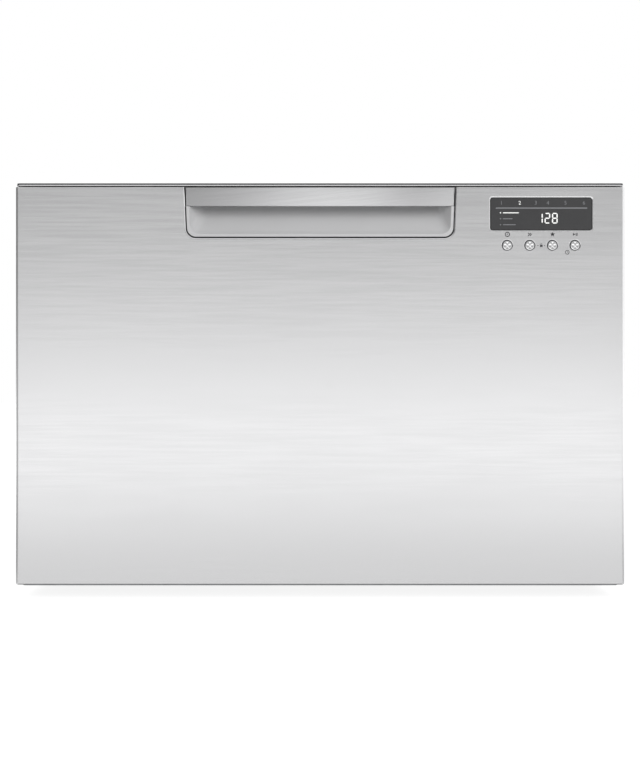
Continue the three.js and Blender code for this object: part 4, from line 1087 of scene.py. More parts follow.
@dataclass
class FrontPanel(Assembly):
    """The steel skin with its recess, the trim on its top edge, the handle, the display and its marks."""

    sheet: float = 1.0
    side_radius: float = 3.0
    foot_radius: float = 1.6
    setback: float = 0.05
    rim: float = 2.0
    window_rim: float = 1.5
    hole_rim: float = 0.8
    recess_top_half: float = 133.2
    recess_foot_half: float = 131.2
    recess_drop: float = 53.4
    recess_corner: float = 9.3
    scoop_gap: float = 0.7
    scoop_wall: float = 3.0
    scoop_depth: float = 24.0
    scoop_fade: float = 15.0
    scoop_rise: float = 16.0
    scoop_squareness: float = 1.35
    scoop_lip: Span = (0.35, 0.5)
    scoop_steps: int = 12
    gasket_spread: float = 1.5
    seam: float = 1.0
    seam_lift: float = 0.5
    trim_corner: float = 3.0
    bar_height: float = 18.7
    bar_thickness: float = 6.0
    bar_edge: float = 0.9
    bar_lean: float = 1.5
    window_drop: float = 30.3
    window_size: tuple[float, float] = (99.6, 31.6)
    window_corner: float = 2.3
    number_places: tuple[float, ...] = (10.7, 28.7, 44.5, 56.4, 73.7, 91.8)
    number_height: float = 3.6
    number_rise: float = 11.0
    number_lit: int = 2
    divider: tuple[Span, Span] = ((5.2, 4.6), (5.1, 6.4))
    rows: tuple[tuple[float, float], ...] = ((1.1, 15.6), (-4.7, 9.4), (-10.6, 12.6))
    row_start: float = 12.2
    row_dot: float = 9.8
    readout: str = "128"
    readout_shift: float = 1.2
    digit_pitch: float = 7.3
    digit_drop: float = 4.2
    button_hole: float = 5.2
    button_play: float = 0.2
    button_roll: float = 0.9
    button_lobe: float = 0.13
    button_dish: float = 0.12
    ink_height: float = 0.04
    mark_rise: float = 10.9
    screw_pitch: float = 105.0
    screw_rise: float = 22.0
    screw_depth: float = 20.0
    post_place: float = 265.0
    post_heights: tuple[float, ...] = (60.0, 200.0, 330.0)

    def __post_init__(self) -> None:
        """Reads the places that the rest lines up with from the frame."""
        self.skin = Extent.of("front_skin")
        self.face = self.skin.low.y + self.setback
        self.top = self.skin.high.z + self.seam_lift
        self.panel_top = Extent.of("edge_strip").high.z
        self.recess_foot = self.panel_top - self.recess_drop
        self.lean = (self.recess_top_half - self.recess_foot_half) / (self.top - self.recess_foot)
        self.sheet_back = self.skin.low.y + self.sheet + 0.3
        self.window_x = Extent.of("display_window").middle.x
        self.window_z = self.panel_top - self.window_drop
        names = ("power_button", "program_button", "option_button", "start_button")
        self.buttons = {name: Extent.of(name).middle for name in names}
        self.button_z = self.buttons["power_button"].z

    def build(self) -> None:
        """Makes every piece of the panel."""
        self.add("front_skin_steel", self.skin_sheet(), STEEL, ["front_skin"])
        self.trim()
        self.scoop()
        self.bar()
        self.display()
        for name, middle in self.buttons.items():
            self.button(name, middle)
        self.button_marks()
        self.dress("front_frame", CHARCOAL, 0.6)
        self.dress("display_board", CIRCUIT, 0.1)
        self.frame_screws()

    def tray_ring(self, y: float, inset: float, foot_inset: float, top: float) -> Ring:
        """A ring round the skin at one depth: square above, with small round corners below.

        Args:
            y: the depth.
            inset: how far its sides are drawn in.
            foot_inset: how far its foot is drawn in.
            top: height of its straight top.

        Returns:
            The ring.
        """
        low, high = self.skin.low, self.skin.high
        corner = max(self.foot_radius - foot_inset / 2, 0.3)
        left, right, foot = low.x + inset, high.x - inset, low.z + foot_inset
        outline = [*arc(right - corner, foot + corner, corner, -90, 0, 5), (right, top), (left, top),
                   *arc(left + corner, foot + corner, corner, 180, 270, 5)]
        return Axis.Y.ring(outline, y)

    def tray(self, inner: float, back: float, top: float) -> Solid:
        """The skin's outer form, or its hollow when drawn in by the sheet.

        Args:
            inner: how far it is drawn in.
            back: place of its back.
            top: height of its top.

        Returns:
            The solid block of that form.
        """
        side, under = self.side_radius - inner, max(self.foot_radius - inner, 0.2)
        face = self.face + inner
        rings = [self.tray_ring(face + side * depth, inner + side * inset, inner + under * inset, top)
                 for depth, inset in quarter(8)]
        return Solid().loft([*rings, self.tray_ring(back, inner, inner, top)])

    def half_at(self, z: float) -> float:
        """Half the width of the recess at a height."""
        return self.recess_foot_half + self.lean * (z - self.recess_foot)

    def recess_outline(self, inset: float, top: float, rise: float = 0.0, steps: int = 10) -> Flat:
        """The recess seen from the front: leaning sides and round lower corners.

        Args:
            inset: how far it is drawn in.
            top: height of its straight top.
            rise: how much further its floor is raised.
            steps: straight steps in a corner.

        Returns:
            The outline.
        """
        foot = self.recess_foot + inset + rise
        radius = max(self.recess_corner - inset, 3 * self.scoop_wall)
        middle = self.half_at(foot + radius) - inset - radius
        side = [*arc(middle, foot + radius, radius, -90, 0, steps), (self.half_at(top) - inset, top)]
        return [*side, *[(-x, z) for x, z in reversed(side)]]

    def rolled_hole(self, shape: Shape, rim: float) -> Solid:
        """A tool that cuts a hole whose front edge is rolled in.

        Args:
            shape: gives the hole's outline, drawn in by a distance.
            rim: radius of the rolled edge.

        Returns:
            The tool.
        """
        rolled = [(self.face + rim * depth, rim * inset) for depth, inset in quarter(5)]
        depths = [(self.face - 1.0, rim), *rolled, (self.face + 3.0, 0.0)]
        return Solid().loft([Axis.Y.ring(shape(-grow), y) for y, grow in depths])

    def window_outline(self, inset: float) -> Flat:
        """The window seen from the front, drawn in by a distance."""
        width, height = self.window_size
        return rounded_box(about(self.window_x, width / 2 - inset), about(self.window_z, height / 2 - inset),
                           self.window_corner - inset * 0.4)

    def skin_sheet(self) -> Solid:
        """The pressed skin: round edges, returns, recess, window and button holes.

        Returns:
            The skin.
        """
        back = self.skin.high.y
        blank = self.tray(0.0, back, self.top)
        hollow = self.tray(self.sheet, back + 2, self.top + 2)
        recess = self.rolled_hole(lambda inset: self.recess_outline(inset, self.top + 4), self.rim)
        holes = [self.rolled_hole(self.window_outline, self.window_rim)]
        for middle in self.buttons.values():
            x, z = middle.x - self.button_play, middle.z + self.button_play
            holes.append(self.rolled_hole(
                lambda inset, x=x, z=z: circle(self.button_hole - inset, x, z, 40), self.hole_rim))
        return blank.cut(hollow, recess, *holes)

    def trim_plan(self, extent: Extent, inset: float, front: float) -> Flat:
        """The trim from above, its front corners rounded.

        Args:
            extent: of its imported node.
            inset: how far it is drawn in.
            front: place of its front.

        Returns:
            The outline.
        """
        x0, x1 = drawn_in((extent.low.x, extent.high.x), inset)
        y0, y1, r = front + inset, extent.high.y - inset, self.trim_corner
        left, right = arc(x0 + r, y0 + r, r, 180, 270, 6), arc(x1 - r, y0 + r, r, 270, 360, 6)
        return [(x1, y1), (x0, y1), *left, *right]

    def trim(self) -> None:
        """Adds the metal trim along the top edge, and the strip on it, whose dark tone is painted shade: the
        dark line along the panel's top edge.
        """
        trim, strip = Extent.of("top_trim"), Extent.of("edge_strip")
        front = trim.low.y + self.setback
        foot = self.top + self.seam
        profile = [(0.4, foot), (0.1, foot + 0.2), (0.0, trim.high.z - 0.6), (0.3, trim.high.z - 0.3)]
        rings = [Axis.Z.ring(self.trim_plan(trim, inset, front), z) for inset, z in profile]
        self.add("top_trim_metal", Solid().loft(rings), TRIM, ["top_trim"])
        # Painted shade: the strip on the trim is coloured dark to give the dark line along the panel's top
        # edge.
        slope, top = strip.size.z / 2, strip.high.z
        levels = [(0.0, strip.low.z - 0.35, 0.0), (0.0, top - 0.2, slope * 0.3), (0.15, top, slope * 0.5)]
        rings = [Axis.Z.ring(self.trim_plan(strip, inset, strip.low.y + lean), z)
                 for inset, z, lean in levels]
        self.add("edge_strip_painted_shade", Solid().loft(rings), TOP_EDGE_SHADE, ["edge_strip"])

    def scoop_rings(self, inset: float, top: float, back: float) -> list[Ring]:
        """Rings of the scoop from its mouth to its back, its floor climbing as it goes.

        Args:
            inset: how far its mouth is drawn in.
            top: height of its top.
            back: place of its back.

        Returns:
            The rings.
        """
        steps, near_all, power = 20, 0.9985, self.scoop_squareness
        rings = []
        for k in range(steps + 1):
            share = math.sin(math.pi / 2 * k / steps) if k < steps else near_all
            swing = 1 - (1 - share ** power) ** (1 / power)
            outline = self.recess_outline(inset + self.scoop_fade * swing, top, self.scoop_rise * swing,
                                          self.scoop_steps)
            rings.append(Axis.Y.ring(outline, self.face + (back - self.face) * share))
        return rings

    def scoop(self) -> None:
        """Adds the scooped recess behind the skin, with its flange and its gasket."""
        gap, wall = self.scoop_gap, self.scoop_wall
        top, back = self.top - 1, self.skin.low.y + self.scoop_depth
        outer = self.scoop_rings(gap, top, back)
        inner = self.scoop_rings(gap + wall, top - wall, back - wall)
        lip = [Axis.Y.ring(self.recess_outline(inset, top - inset * 0.5, 0, self.scoop_steps), self.face)
               for inset in (gap + self.scoop_lip[0], gap + wall - self.scoop_lip[1])]
        for ring, roll in zip((outer[0], inner[0]), self.scoop_lip):
            for point in ring:
                point.y += roll
        shell = Solid().loft([*reversed(outer), *lip, *inner])
        bar_room = Solid().box((-150, 150), (self.face - 2, self.face + self.bar_thickness + 0.3),
                               (self.top - self.bar_height - 0.15, self.top + 3))
        mouth = self.recess_outline(gap + 0.5, top - 4)
        flange = Solid().plate(Axis.Y, self.recess_outline(gap - 4, top), [mouth],
                               (self.sheet_back, self.sheet_back + 2))
        self.add("handle_scoop_shell", shell.cut(bar_room).add(flange), SILVER, ["handle_scoop"])
        ends = (self.face + 0.8, self.face + self.sheet + 0.2)
        profile = block_profile(-self.gasket_spread, gap + 0.2, ends)
        seal = [Axis.Y.ring(self.recess_outline(inset, top), y) for inset, y in profile]
        self.add("handle_scoop_gasket", Solid().loft(seal, closed=True), GASKET)

    def bar(self) -> None:
        """Adds the handle bar across the mouth of the recess, its face leaning back towards its foot."""
        low = self.top - self.bar_height

        def outline(inset: float) -> Flat:
            """The bar seen from the front.

            Args:
                inset: how far it is drawn in.

            Returns:
                The outline.
            """
            z0, z1 = drawn_in((low, self.top), inset)
            foot, head = (self.half_at(z) - self.scoop_gap - inset for z in (z0, z1))
            return [(head, z1), (-head, z1), (-foot, z0), (foot, z0)]

        back = self.face + self.bar_thickness - 0.05
        grip = Solid().edged(Axis.Y, outline, self.face, back, self.bar_edge, 5)
        for point in grip.points:
            if point.y < self.face + self.bar_thickness / 2:
                point.y += self.bar_lean * (self.top - point.z) / self.bar_height
        self.add("handle_bar_steel", grip, BAR_STEEL, ["handle_bar"], crease=50)

    def display(self) -> None:
        """Adds the smoked window and what shows in it: plain numbers, a divider, three rows and a readout."""
        node = Extent.of("display_window")
        face, back = node.low.y, self.sheet_back
        glass = Solid().edged(Axis.Y, lambda inset: self.window_outline(inset + 0.3), face, back + 0.5, 0.35)
        glass.prism(Axis.Y, self.window_outline(-3.0), (back, node.high.y))
        self.add("display_window_glass", glass, GLASS, ["display_window"])
        span = (face - self.ink_height, face + 0.1)
        lit, dim = Solid(), Solid()
        left, right = about(self.window_x, self.window_size[0] / 2)
        for number, place in enumerate(self.number_places, start=1):
            chosen = lit if number == self.number_lit else dim
            z = self.window_z + self.number_rise
            chosen.number(str(number), left + place, z, self.number_height, span)
        (from_left, from_right), (low, high) = self.divider
        line = ((left + from_left, right - from_right), (self.window_z + low, self.window_z + high))
        dim.prism(Axis.Y, rounded_box(*line, 0.4, 3), span)
        for row, (rise, length) in enumerate(self.rows):
            z, start = self.window_z + rise, left + self.row_start
            chosen = dim if row else lit
            chosen.prism(Axis.Y, circle(0.65, left + self.row_dot, z, 14), span)
            chosen.prism(Axis.Y, rounded_box((start, start + length), about(z, 0.45), 0.4, 3), span)
        for k, digit in enumerate(self.readout):
            x = self.window_x - self.readout_shift + self.digit_pitch * k
            seven_segments(lit, digit, x, self.window_z - self.digit_drop, span)
        self.add("display_marks_lit", lit, LIT)
        self.add("display_marks_dim", dim, HALF_LIT)

    def button(self, name: str, middle: Vector) -> None:
        """Adds one push button: a turned cap with a shallow dish, its flange and its stem.

        Args:
            name: of the button, its node and its body.
            middle: of its node.
        """
        node = Extent.of(name)
        face, flange = node.low.y + self.setback, self.sheet_back
        outer = node.size.x / 2
        radius = outer - 1.95
        roll = self.button_roll
        flat = radius - roll
        sides, roll_steps = 48, 6
        rings = []
        for share in (0.0, 0.25, 0.5, 0.7, 0.85, 1.0):
            lobe, dish = self.button_lobe * math.sin(math.pi * share), self.button_dish * (1 - share ** 2)
            rings.append([
                Vector((x, face + dish + lobe * math.cos(4 * math.atan2(z - middle.z, x - middle.x)), z))
                for x, z in circle(max(share * flat, 0.02), middle.x, middle.z, sides)
            ])
        for step in range(1, roll_steps + 1):
            angle = math.pi / 2 * step / roll_steps
            edge = circle(flat + roll * math.sin(angle), middle.x, middle.z, sides)
            rings.append(Axis.Y.ring(edge, face + roll * (1 - math.cos(angle))))
        rings.append(Axis.Y.ring(circle(radius, middle.x, middle.z, sides), flange + 0.2))
        self.add(f"{name}_cap", Solid().loft(rings), BUTTON, [name], name)
        stem = [(radius - 0.3, flange), (outer, flange + 0.01), (outer, flange + 1.2), (2.0, flange + 1.21),
                (2.0, node.high.y - 0.4), (1.6, node.high.y)]
        self.add(f"{name}_stem", Solid().turned(Axis.Y, middle.x, middle.z, stem), CHARCOAL, body=name)

    def button_marks(self) -> None:
        """Adds the printed marks by the buttons: start, forward, star, run, lock and clock."""
        span = (self.face - self.ink_height, self.face + 0.1)
        ink = Solid()

        def dash(x: float, z: float, half_x: float, half_z: float, corner: float = 0.2) -> None:
            """Prints a small bar about its middle."""
            ink.prism(Axis.Y, rounded_box(about(x, half_x), about(z, half_z), corner, 2), span)

        start, forward, star_x, run = (middle.x for middle in self.buttons.values())
        z = self.button_z + self.mark_rise
        ink.ringed(Axis.Y, start, z, block_profile(1.7, 2.5, span), 28)
        dash(start, z, 0.32, 0.8)
        for x in (forward - 1.7, forward + 0.1):
            ink.prism(Axis.Y, thick_line([(x, z + 1.4), (x + 1.3, z), (x, z - 1.4)], 0.95), span)
        ink.prism(Axis.Y, star(5, 2.4, 1.15, star_x, z), span)
        ink.prism(Axis.Y, [(run - 2.0, z - 1.4), (run + 0.3, z), (run - 2.0, z + 1.4)], span)
        for x in (run + 0.55, run + 1.7):
            ink.prism(Axis.Y, [(x, z - 1.4), (x + 0.7, z - 1.4), (x + 0.7, z + 1.4), (x, z + 1.4)], span)
        x, z = (forward + star_x) / 2, self.button_z
        ink.prism(Axis.Y, rounded_box(about(x, 1.25), (z - 1.5, z + 0.7), 0.3, 3), span)
        bow = [(x - 0.75, z + 0.6), *arc(x, z + 1.0, 0.75, 180, 0, 6), (x + 0.75, z + 0.6)]
        ink.prism(Axis.Y, thick_line(bow, 0.4), span)
        for side in (-1, 1):
            dash(x + 3.1 * side, z, 0.6, 0.25)
        x, z = run - 7.7, self.button_z - 6.7
        ink.ringed(Axis.Y, x, z, block_profile(1.6, 2.15, span), 28)
        hands = [(-0.2, 1.2), (-0.2, -0.2), (1.0, -0.2), (1.0, 0.15), (0.2, 0.15), (0.2, 1.2)]
        ink.prism(Axis.Y, [(x + p, z + q) for p, q in hands], span)
        self.add("button_marks", ink, INK)

    def frame_screws(self) -> None:
        """Adds screws at the back of the frame that hold the skin's returns and the tub's posts."""
        foot = Extent.of("front_frame").low.z + self.screw_rise
        places = [(x, foot) for x in spread(6, self.screw_pitch)]
        places += [(x, z) for x in about(0, self.post_place) for z in self.post_heights]
        screws = screw_heads(Axis.Y, places, self.skin.low.y + self.screw_depth, 1.6)
        self.add("frame_screws", screws, SCREW)


SEGMENTS = {"1": "bc", "2": "abged", "8": "abcdefg"}


def seven_segments(solid: Solid, digit: str, u: float, v: float, span: Span, width: float = 5.6,
                   height: float = 10.6) -> None:
    """Adds one digit of a readout, made of bars with pointed ends.

    Args:
        solid: that it is added to.
        digit: that it shows.
        u, v: its middle.
        span: the depths between which it lies.
        width, height: of the digit.
    """
    thick, gap = 0.6, 0.18
    x, z = width / 2 - thick, height / 2 - thick
    ends = {"a": ((-x, z), (x, z)), "g": ((-x, 0), (x, 0)), "d": ((-x, -z), (x, -z)), "b": ((x, 0), (x, z)),
            "c": ((x, -z), (x, 0)), "f": ((-x, 0), (-x, z)), "e": ((-x, -z), (-x, 0))}
    for name in SEGMENTS[digit]:
        start, end = (Vector((u + p, v + q)) for p, q in ends[name])
        along = (end - start).normalized()
        side = Vector((-along.y, along.x)) * thick
        near, far = start + along * gap, end - along * gap
        outline = [near, near + along * thick + side, far - along * thick + side, far,
                   far - along * thick - side, near + along * thick - side]
        solid.prism(Axis.Y, [tuple(point) for point in outline], span)


@dataclass(frozen=True)
class TubPlan:
    """The tub seen from above, which the lid, the seal and the filter plate follow."""

    xs: Span
    ys: Span
    corner: float = 38.0

    @classmethod
    def of_frame(cls, rim_width: float = 6.0) -> "TubPlan":
        """The tub's outer walls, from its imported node."""
        tub = Extent.of("tub")
        return cls(drawn_in((tub.low.x, tub.high.x), rim_width), drawn_in((tub.low.y, tub.high.y), rim_width))

    def outline(self, grow: float) -> Flat:
        """The plan, grown by a margin."""
        return rounded_box(drawn_in(self.xs, -grow), drawn_in(self.ys, -grow), self.corner + grow, 12)

    def through(self, profile: Flat) -> list[Ring]:
        """Level rings round the plan, by how far each is grown and its height."""
        return [Axis.Z.ring(self.outline(grow), z) for grow, z in profile]


@dataclass
class Chassis(Assembly):
    """The sheet-metal box that stays in the cabinet, with its feet, connections and actuators."""

    body: str = "chassis"
    sheet: float = 1.2
    edge: float = 0.2
    corner: float = 1.0
    fixing_hole: float = 3.2
    bead_height: float = 1.3
    bead_width: float = 16.0
    side_bead: float = 440.0
    side_bead_pitch: float = 76.0
    side_bead_rise: float = 42.0
    top_bead: float = 450.0
    top_bead_pitch: float = 100.0
    top_flange: float = 15.0
    lip_gap: float = 6.0
    side_hole_insets: tuple[Span, Span] = ((14.0, 20.0), (12.0, 40.0))
    top_hole_half: float = 240.0
    top_hole_inset: float = 16.0
    slot_size: tuple[float, float] = (22.0, 6.0)
    slot_pitch: float = 100.0
    slot_rise: float = 22.0
    vent_size: tuple[float, float] = (120.0, 5.0)
    vent_pitch: float = 11.0
    vent_count: int = 5
    lowest_vent: float = 262.0
    field_places: tuple[float, float] = (-140.0, 140.0)
    field_half: float = 105.0
    field_heights: Span = (145.0, 335.0)
    field_corner: float = 16.0
    low_field: tuple[Span, Span] = ((-200.0, 60.0), (34.0, 108.0))
    low_field_corner: float = 14.0
    sunk_radius: float = 4.4
    sunk_heights: tuple[float, ...] = (30.0, 125.0, 220.0, 315.0, 392.0)
    sunk_inset: float = 9.0
    sunk_drop: float = 12.0
    sunk_pitch: float = 130.0
    rail_screw_pitch: float = 140.0
    connection_gap: float = 0.5
    connection_radii: tuple[float, float, float] = (12.0, 11.0, 9.0)
    thread_pitch: float = 1.75
    thread_radius: float = 5.0
    thread_depth: float = 0.65
    foot_ribs: int = 12
    coil: Span = (12.4, 13.4)

    def build(self) -> None:
        """Makes every piece of the chassis."""
        for side, way in SIDES.items():
            self.side_panel(side, way)
            self.actuator(side, way)
            for end in ("front", "rear"):
                self.foot(f"{side}_{end}_foot")
        self.top_panel()
        self.rear_panel()
        self.connections()
        self.dress("base_pan", ZINC, 0.2)

    def bead(self, axis: Axis, u: float, v: float, length: float, face: float,
             upright: bool = False) -> Solid:
        """A pressed bead that stands out of a sheet.

        Args:
            axis: that the sheet is square to.
            u, v: its middle.
            length: over its round ends.
            face: of the sheet.
            upright: whether it runs along v.

        Returns:
            The bead.
        """
        def shape(inset: float) -> Flat:
            """Its outline."""
            return slot_shape(u, v, length - 2 * inset, self.bead_width - 2 * inset, upright)

        return Solid().edged(axis, shape, face + self.bead_height, face - 0.4, self.bead_height, 5)

    def side_panel(self, side: str, way: int) -> None:
        """Adds a side sheet: pressed beads, a folded front edge, slots, and the screws of the runner.

        Args:
            side: its name.
            way: 1 for right, -1 for left.
        """
        node, rail = Extent.of(f"{side}_side_panel"), Extent.of(f"{side}_outer_rail").middle
        y0, y1, z0, z1 = node.low.y, node.high.y, node.low.z, node.high.z
        mouth, outside = node.reach
        (front, rear), (foot, head) = self.side_hole_insets
        holes = [circle(self.fixing_hole, y, z, 20) for y in (y0 + front, y1 - rear)
                 for z in (z0 + foot, z1 - head)]
        holes += [slot_shape(y, z0 + self.slot_rise, *self.slot_size)
                  for y in spread(5, self.slot_pitch, node.middle.y)]
        outline = rounded_box((y0, y1), (z0, z1), self.corner, 3)
        panel = Solid().plate(Axis.X, outline, holes, (outside - self.sheet, outside), self.edge)
        for z in spread(3, self.side_bead_pitch, node.middle.z + self.side_bead_rise):
            panel.add(self.bead(Axis.X, node.middle.y, z, self.side_bead, outside))
        lip = (Extent.of(f"{side}_outer_rail").high.z + self.lip_gap, z1 - self.sheet - self.top_flange - 2)
        panel.box((mouth, outside - 0.4), (y0, y0 + self.sheet), lip)
        runner = [(y, rail.z) for y in spread(4, self.rail_screw_pitch, rail.y)]
        screws = screw_heads(Axis.X, runner, outside, 1.5, 4.5)
        upper = [(y, z1 - 10) for y in (y0 + 40, node.middle.y, y1 - 40)]
        screws.add(screw_heads(Axis.X, upper, outside, 1.3))
        self.add(f"{side}_side_sheet", panel.on_side(way), ZINC, [f"{side}_side_panel"])
        self.add(f"{side}_side_screws", screws.on_side(way), SCREW)

    def top_panel(self) -> None:
        """Adds the top sheet with its side flanges and its beads."""
        node = Extent.of("top_panel")
        low, high = node.low, node.high
        outline = rounded_box((low.x, high.x), (low.y, high.y), self.corner, 3)
        holes = [circle(self.fixing_hole, x, y, 20) for x in about(0, self.top_hole_half)
                 for y in drawn_in((low.y, high.y), self.top_hole_inset)]
        panel = Solid().plate(Axis.Z, outline, holes, (high.z - self.sheet, high.z), self.edge)
        for x0 in (low.x, high.x - self.sheet):
            panel.box((x0, x0 + self.sheet), (low.y, high.y), (low.z, high.z - self.sheet / 2))
        for x in spread(5, self.top_bead_pitch):
            panel.add(self.bead(Axis.Z, x, node.middle.y, self.top_bead, high.z, upright=True))
        self.add("top_sheet", panel, ZINC, ["top_panel"])

    def rear_panel(self) -> None:
        """Adds the rear sheet: sunk fields, vents, sunk screws and round openings for the connections."""
        node = Extent.of("rear_panel")
        low, high, half = node.low, node.high, node.middle.y
        outline = rounded_box((low.x, high.x), (low.z, high.z), self.corner, 3)
        pieces = [Extent.of(name).middle for name in ("inlet_valve", "drain_outlet", "mains_box")]
        ways = [circle(radius + self.connection_gap, piece.x, pieces[1].z, 32)
                for radius, piece in zip(self.connection_radii, pieces)]
        vents = [slot_shape(x, self.lowest_vent + self.vent_pitch * k, *self.vent_size)
                 for x in self.field_places for k in range(self.vent_count)]
        fields = [rounded_box(about(x, self.field_half), self.field_heights, self.field_corner)
                  for x in self.field_places]
        fields.append(rounded_box(*self.low_field, self.low_field_corner))
        places = [(x, z) for x in drawn_in((low.x, high.x), self.sunk_inset) for z in self.sunk_heights]
        places += [(x, high.z - self.sunk_drop) for x in spread(4, self.sunk_pitch)]
        sunk = [circle(self.sunk_radius, x, z, 20) for x, z in places]
        panel = Solid().plate(Axis.Y, outline, [*ways, *vents], (low.y, half + 0.1), self.edge)
        panel.plate(Axis.Y, outline, [*ways, *fields, *sunk], (half, high.y), self.edge)
        self.add("rear_sheet", panel, ZINC, ["rear_panel"])
        self.add("rear_screws", screw_heads(Axis.Y, places, half, high.y - half - 0.05), SCREW)

    def foot(self, name: str) -> None:
        """Adds one levelling foot: a pad with a rounded edge, a hexagonal nut and a threaded stem.

        Args:
            name: of the foot, its node and its body.
        """
        node = Extent.of(name)
        x, y, top, radius = node.middle.x, node.middle.y, node.high.z, node.size.x / 2
        shape = [(0, 0), (radius - 1.2, 0), (radius, 1.0), (radius, 4.2), (radius - 1, 5.5), (radius - 4, 6),
                 (0, 6)]
        pad = Solid().turned(Axis.Z, x, y, shape, 48)
        pad.around(x, y, self.foot_ribs, lambda: Solid().box((9.5, radius - 2.2), (-0.8, 0.8), (5.0, 6.9)))
        pad.loft([Axis.Z.ring(circle(r, x, y, 6), z) for r, z in [(9, 5.5), (9, 9.1), (8.3, 9.7)]])
        self.add(f"{name}_pad", pad, BLACK, [name], name)
        crest, root = self.thread_radius, self.thread_radius - self.thread_depth
        profile: Flat = [(4.5, 9.0)]
        z = 10.0
        while z < top - 3:
            profile += [(crest, z), (crest, z + 0.3), (root, z + 0.85), (root, z + 1.15)]
            z += self.thread_pitch
        profile += [(root, top - 1), (3.6, top)]
        self.add(f"{name}_stem", Solid().turned(Axis.Z, x, y, profile, 24), SCREW, body=name, crease=25)

    def connections(self) -> None:
        """Adds the inlet valve, the drain outlet and the mains box, just inside the rear sheet."""
        for name, finish in [("inlet_valve", WHITE), ("drain_outlet", BLACK), ("mains_box", BLACK)]:
            self.dress(name, finish, 0.6)
        valve, mains = Extent.of("inlet_valve"), Extent.of("mains_box")
        x, y, top = valve.middle.x, valve.low.y + 18, valve.high.z
        coil = block_profile(*self.coil, (top - 21, top - 4))
        self.add("valve_coil", Solid().ringed(Axis.Z, x, y, coil, 36), WINDINGS)
        screws = Solid()
        for way in (-1, 1):
            for u, base in ((mains.middle.x + 24 * way, mains.low.y), (x + 18 * way, valve.low.y)):
                screws.add(screw_head(Axis.Y, u, mains.middle.z, base, -1.3))
        for way in (-1, 1):
            screws.box(about(x + 5 * way, 0.4), about(y, 3), (top - 0.5, top + 8))
        self.add("connection_screws", screws, SCREW)

    def actuator(self, side: str, way: int) -> None:
        """Adds the box that lifts one side of the lid, with ribs and screws on its inner face.

        Args:
            side: its name.
            way: 1 for right, -1 for left.
        """
        name = f"{side}_lid_actuator"
        self.dress(name, BLACK, 0.8)
        box = Extent.of(name)
        face = box.reach[0]
        ribs = Solid()
        for y in spread(5, 10, box.middle.y):
            ribs.box((face - 1.4, face + 0.5), about(y, 0.9), (box.low.z + 12, box.high.z - 8))
        corners = [(y, z) for y in (box.low.y + 7, box.high.y - 7) for z in (box.low.z + 7, box.high.z - 7)]
        screws = screw_heads(Axis.X, corners, face, -1.3, 3.2)
        self.add(f"{side}_actuator_ribs", ribs.on_side(way), BLACK, bevel=0.4)
        self.add(f"{side}_actuator_screws", screws.on_side(way), SCREW)


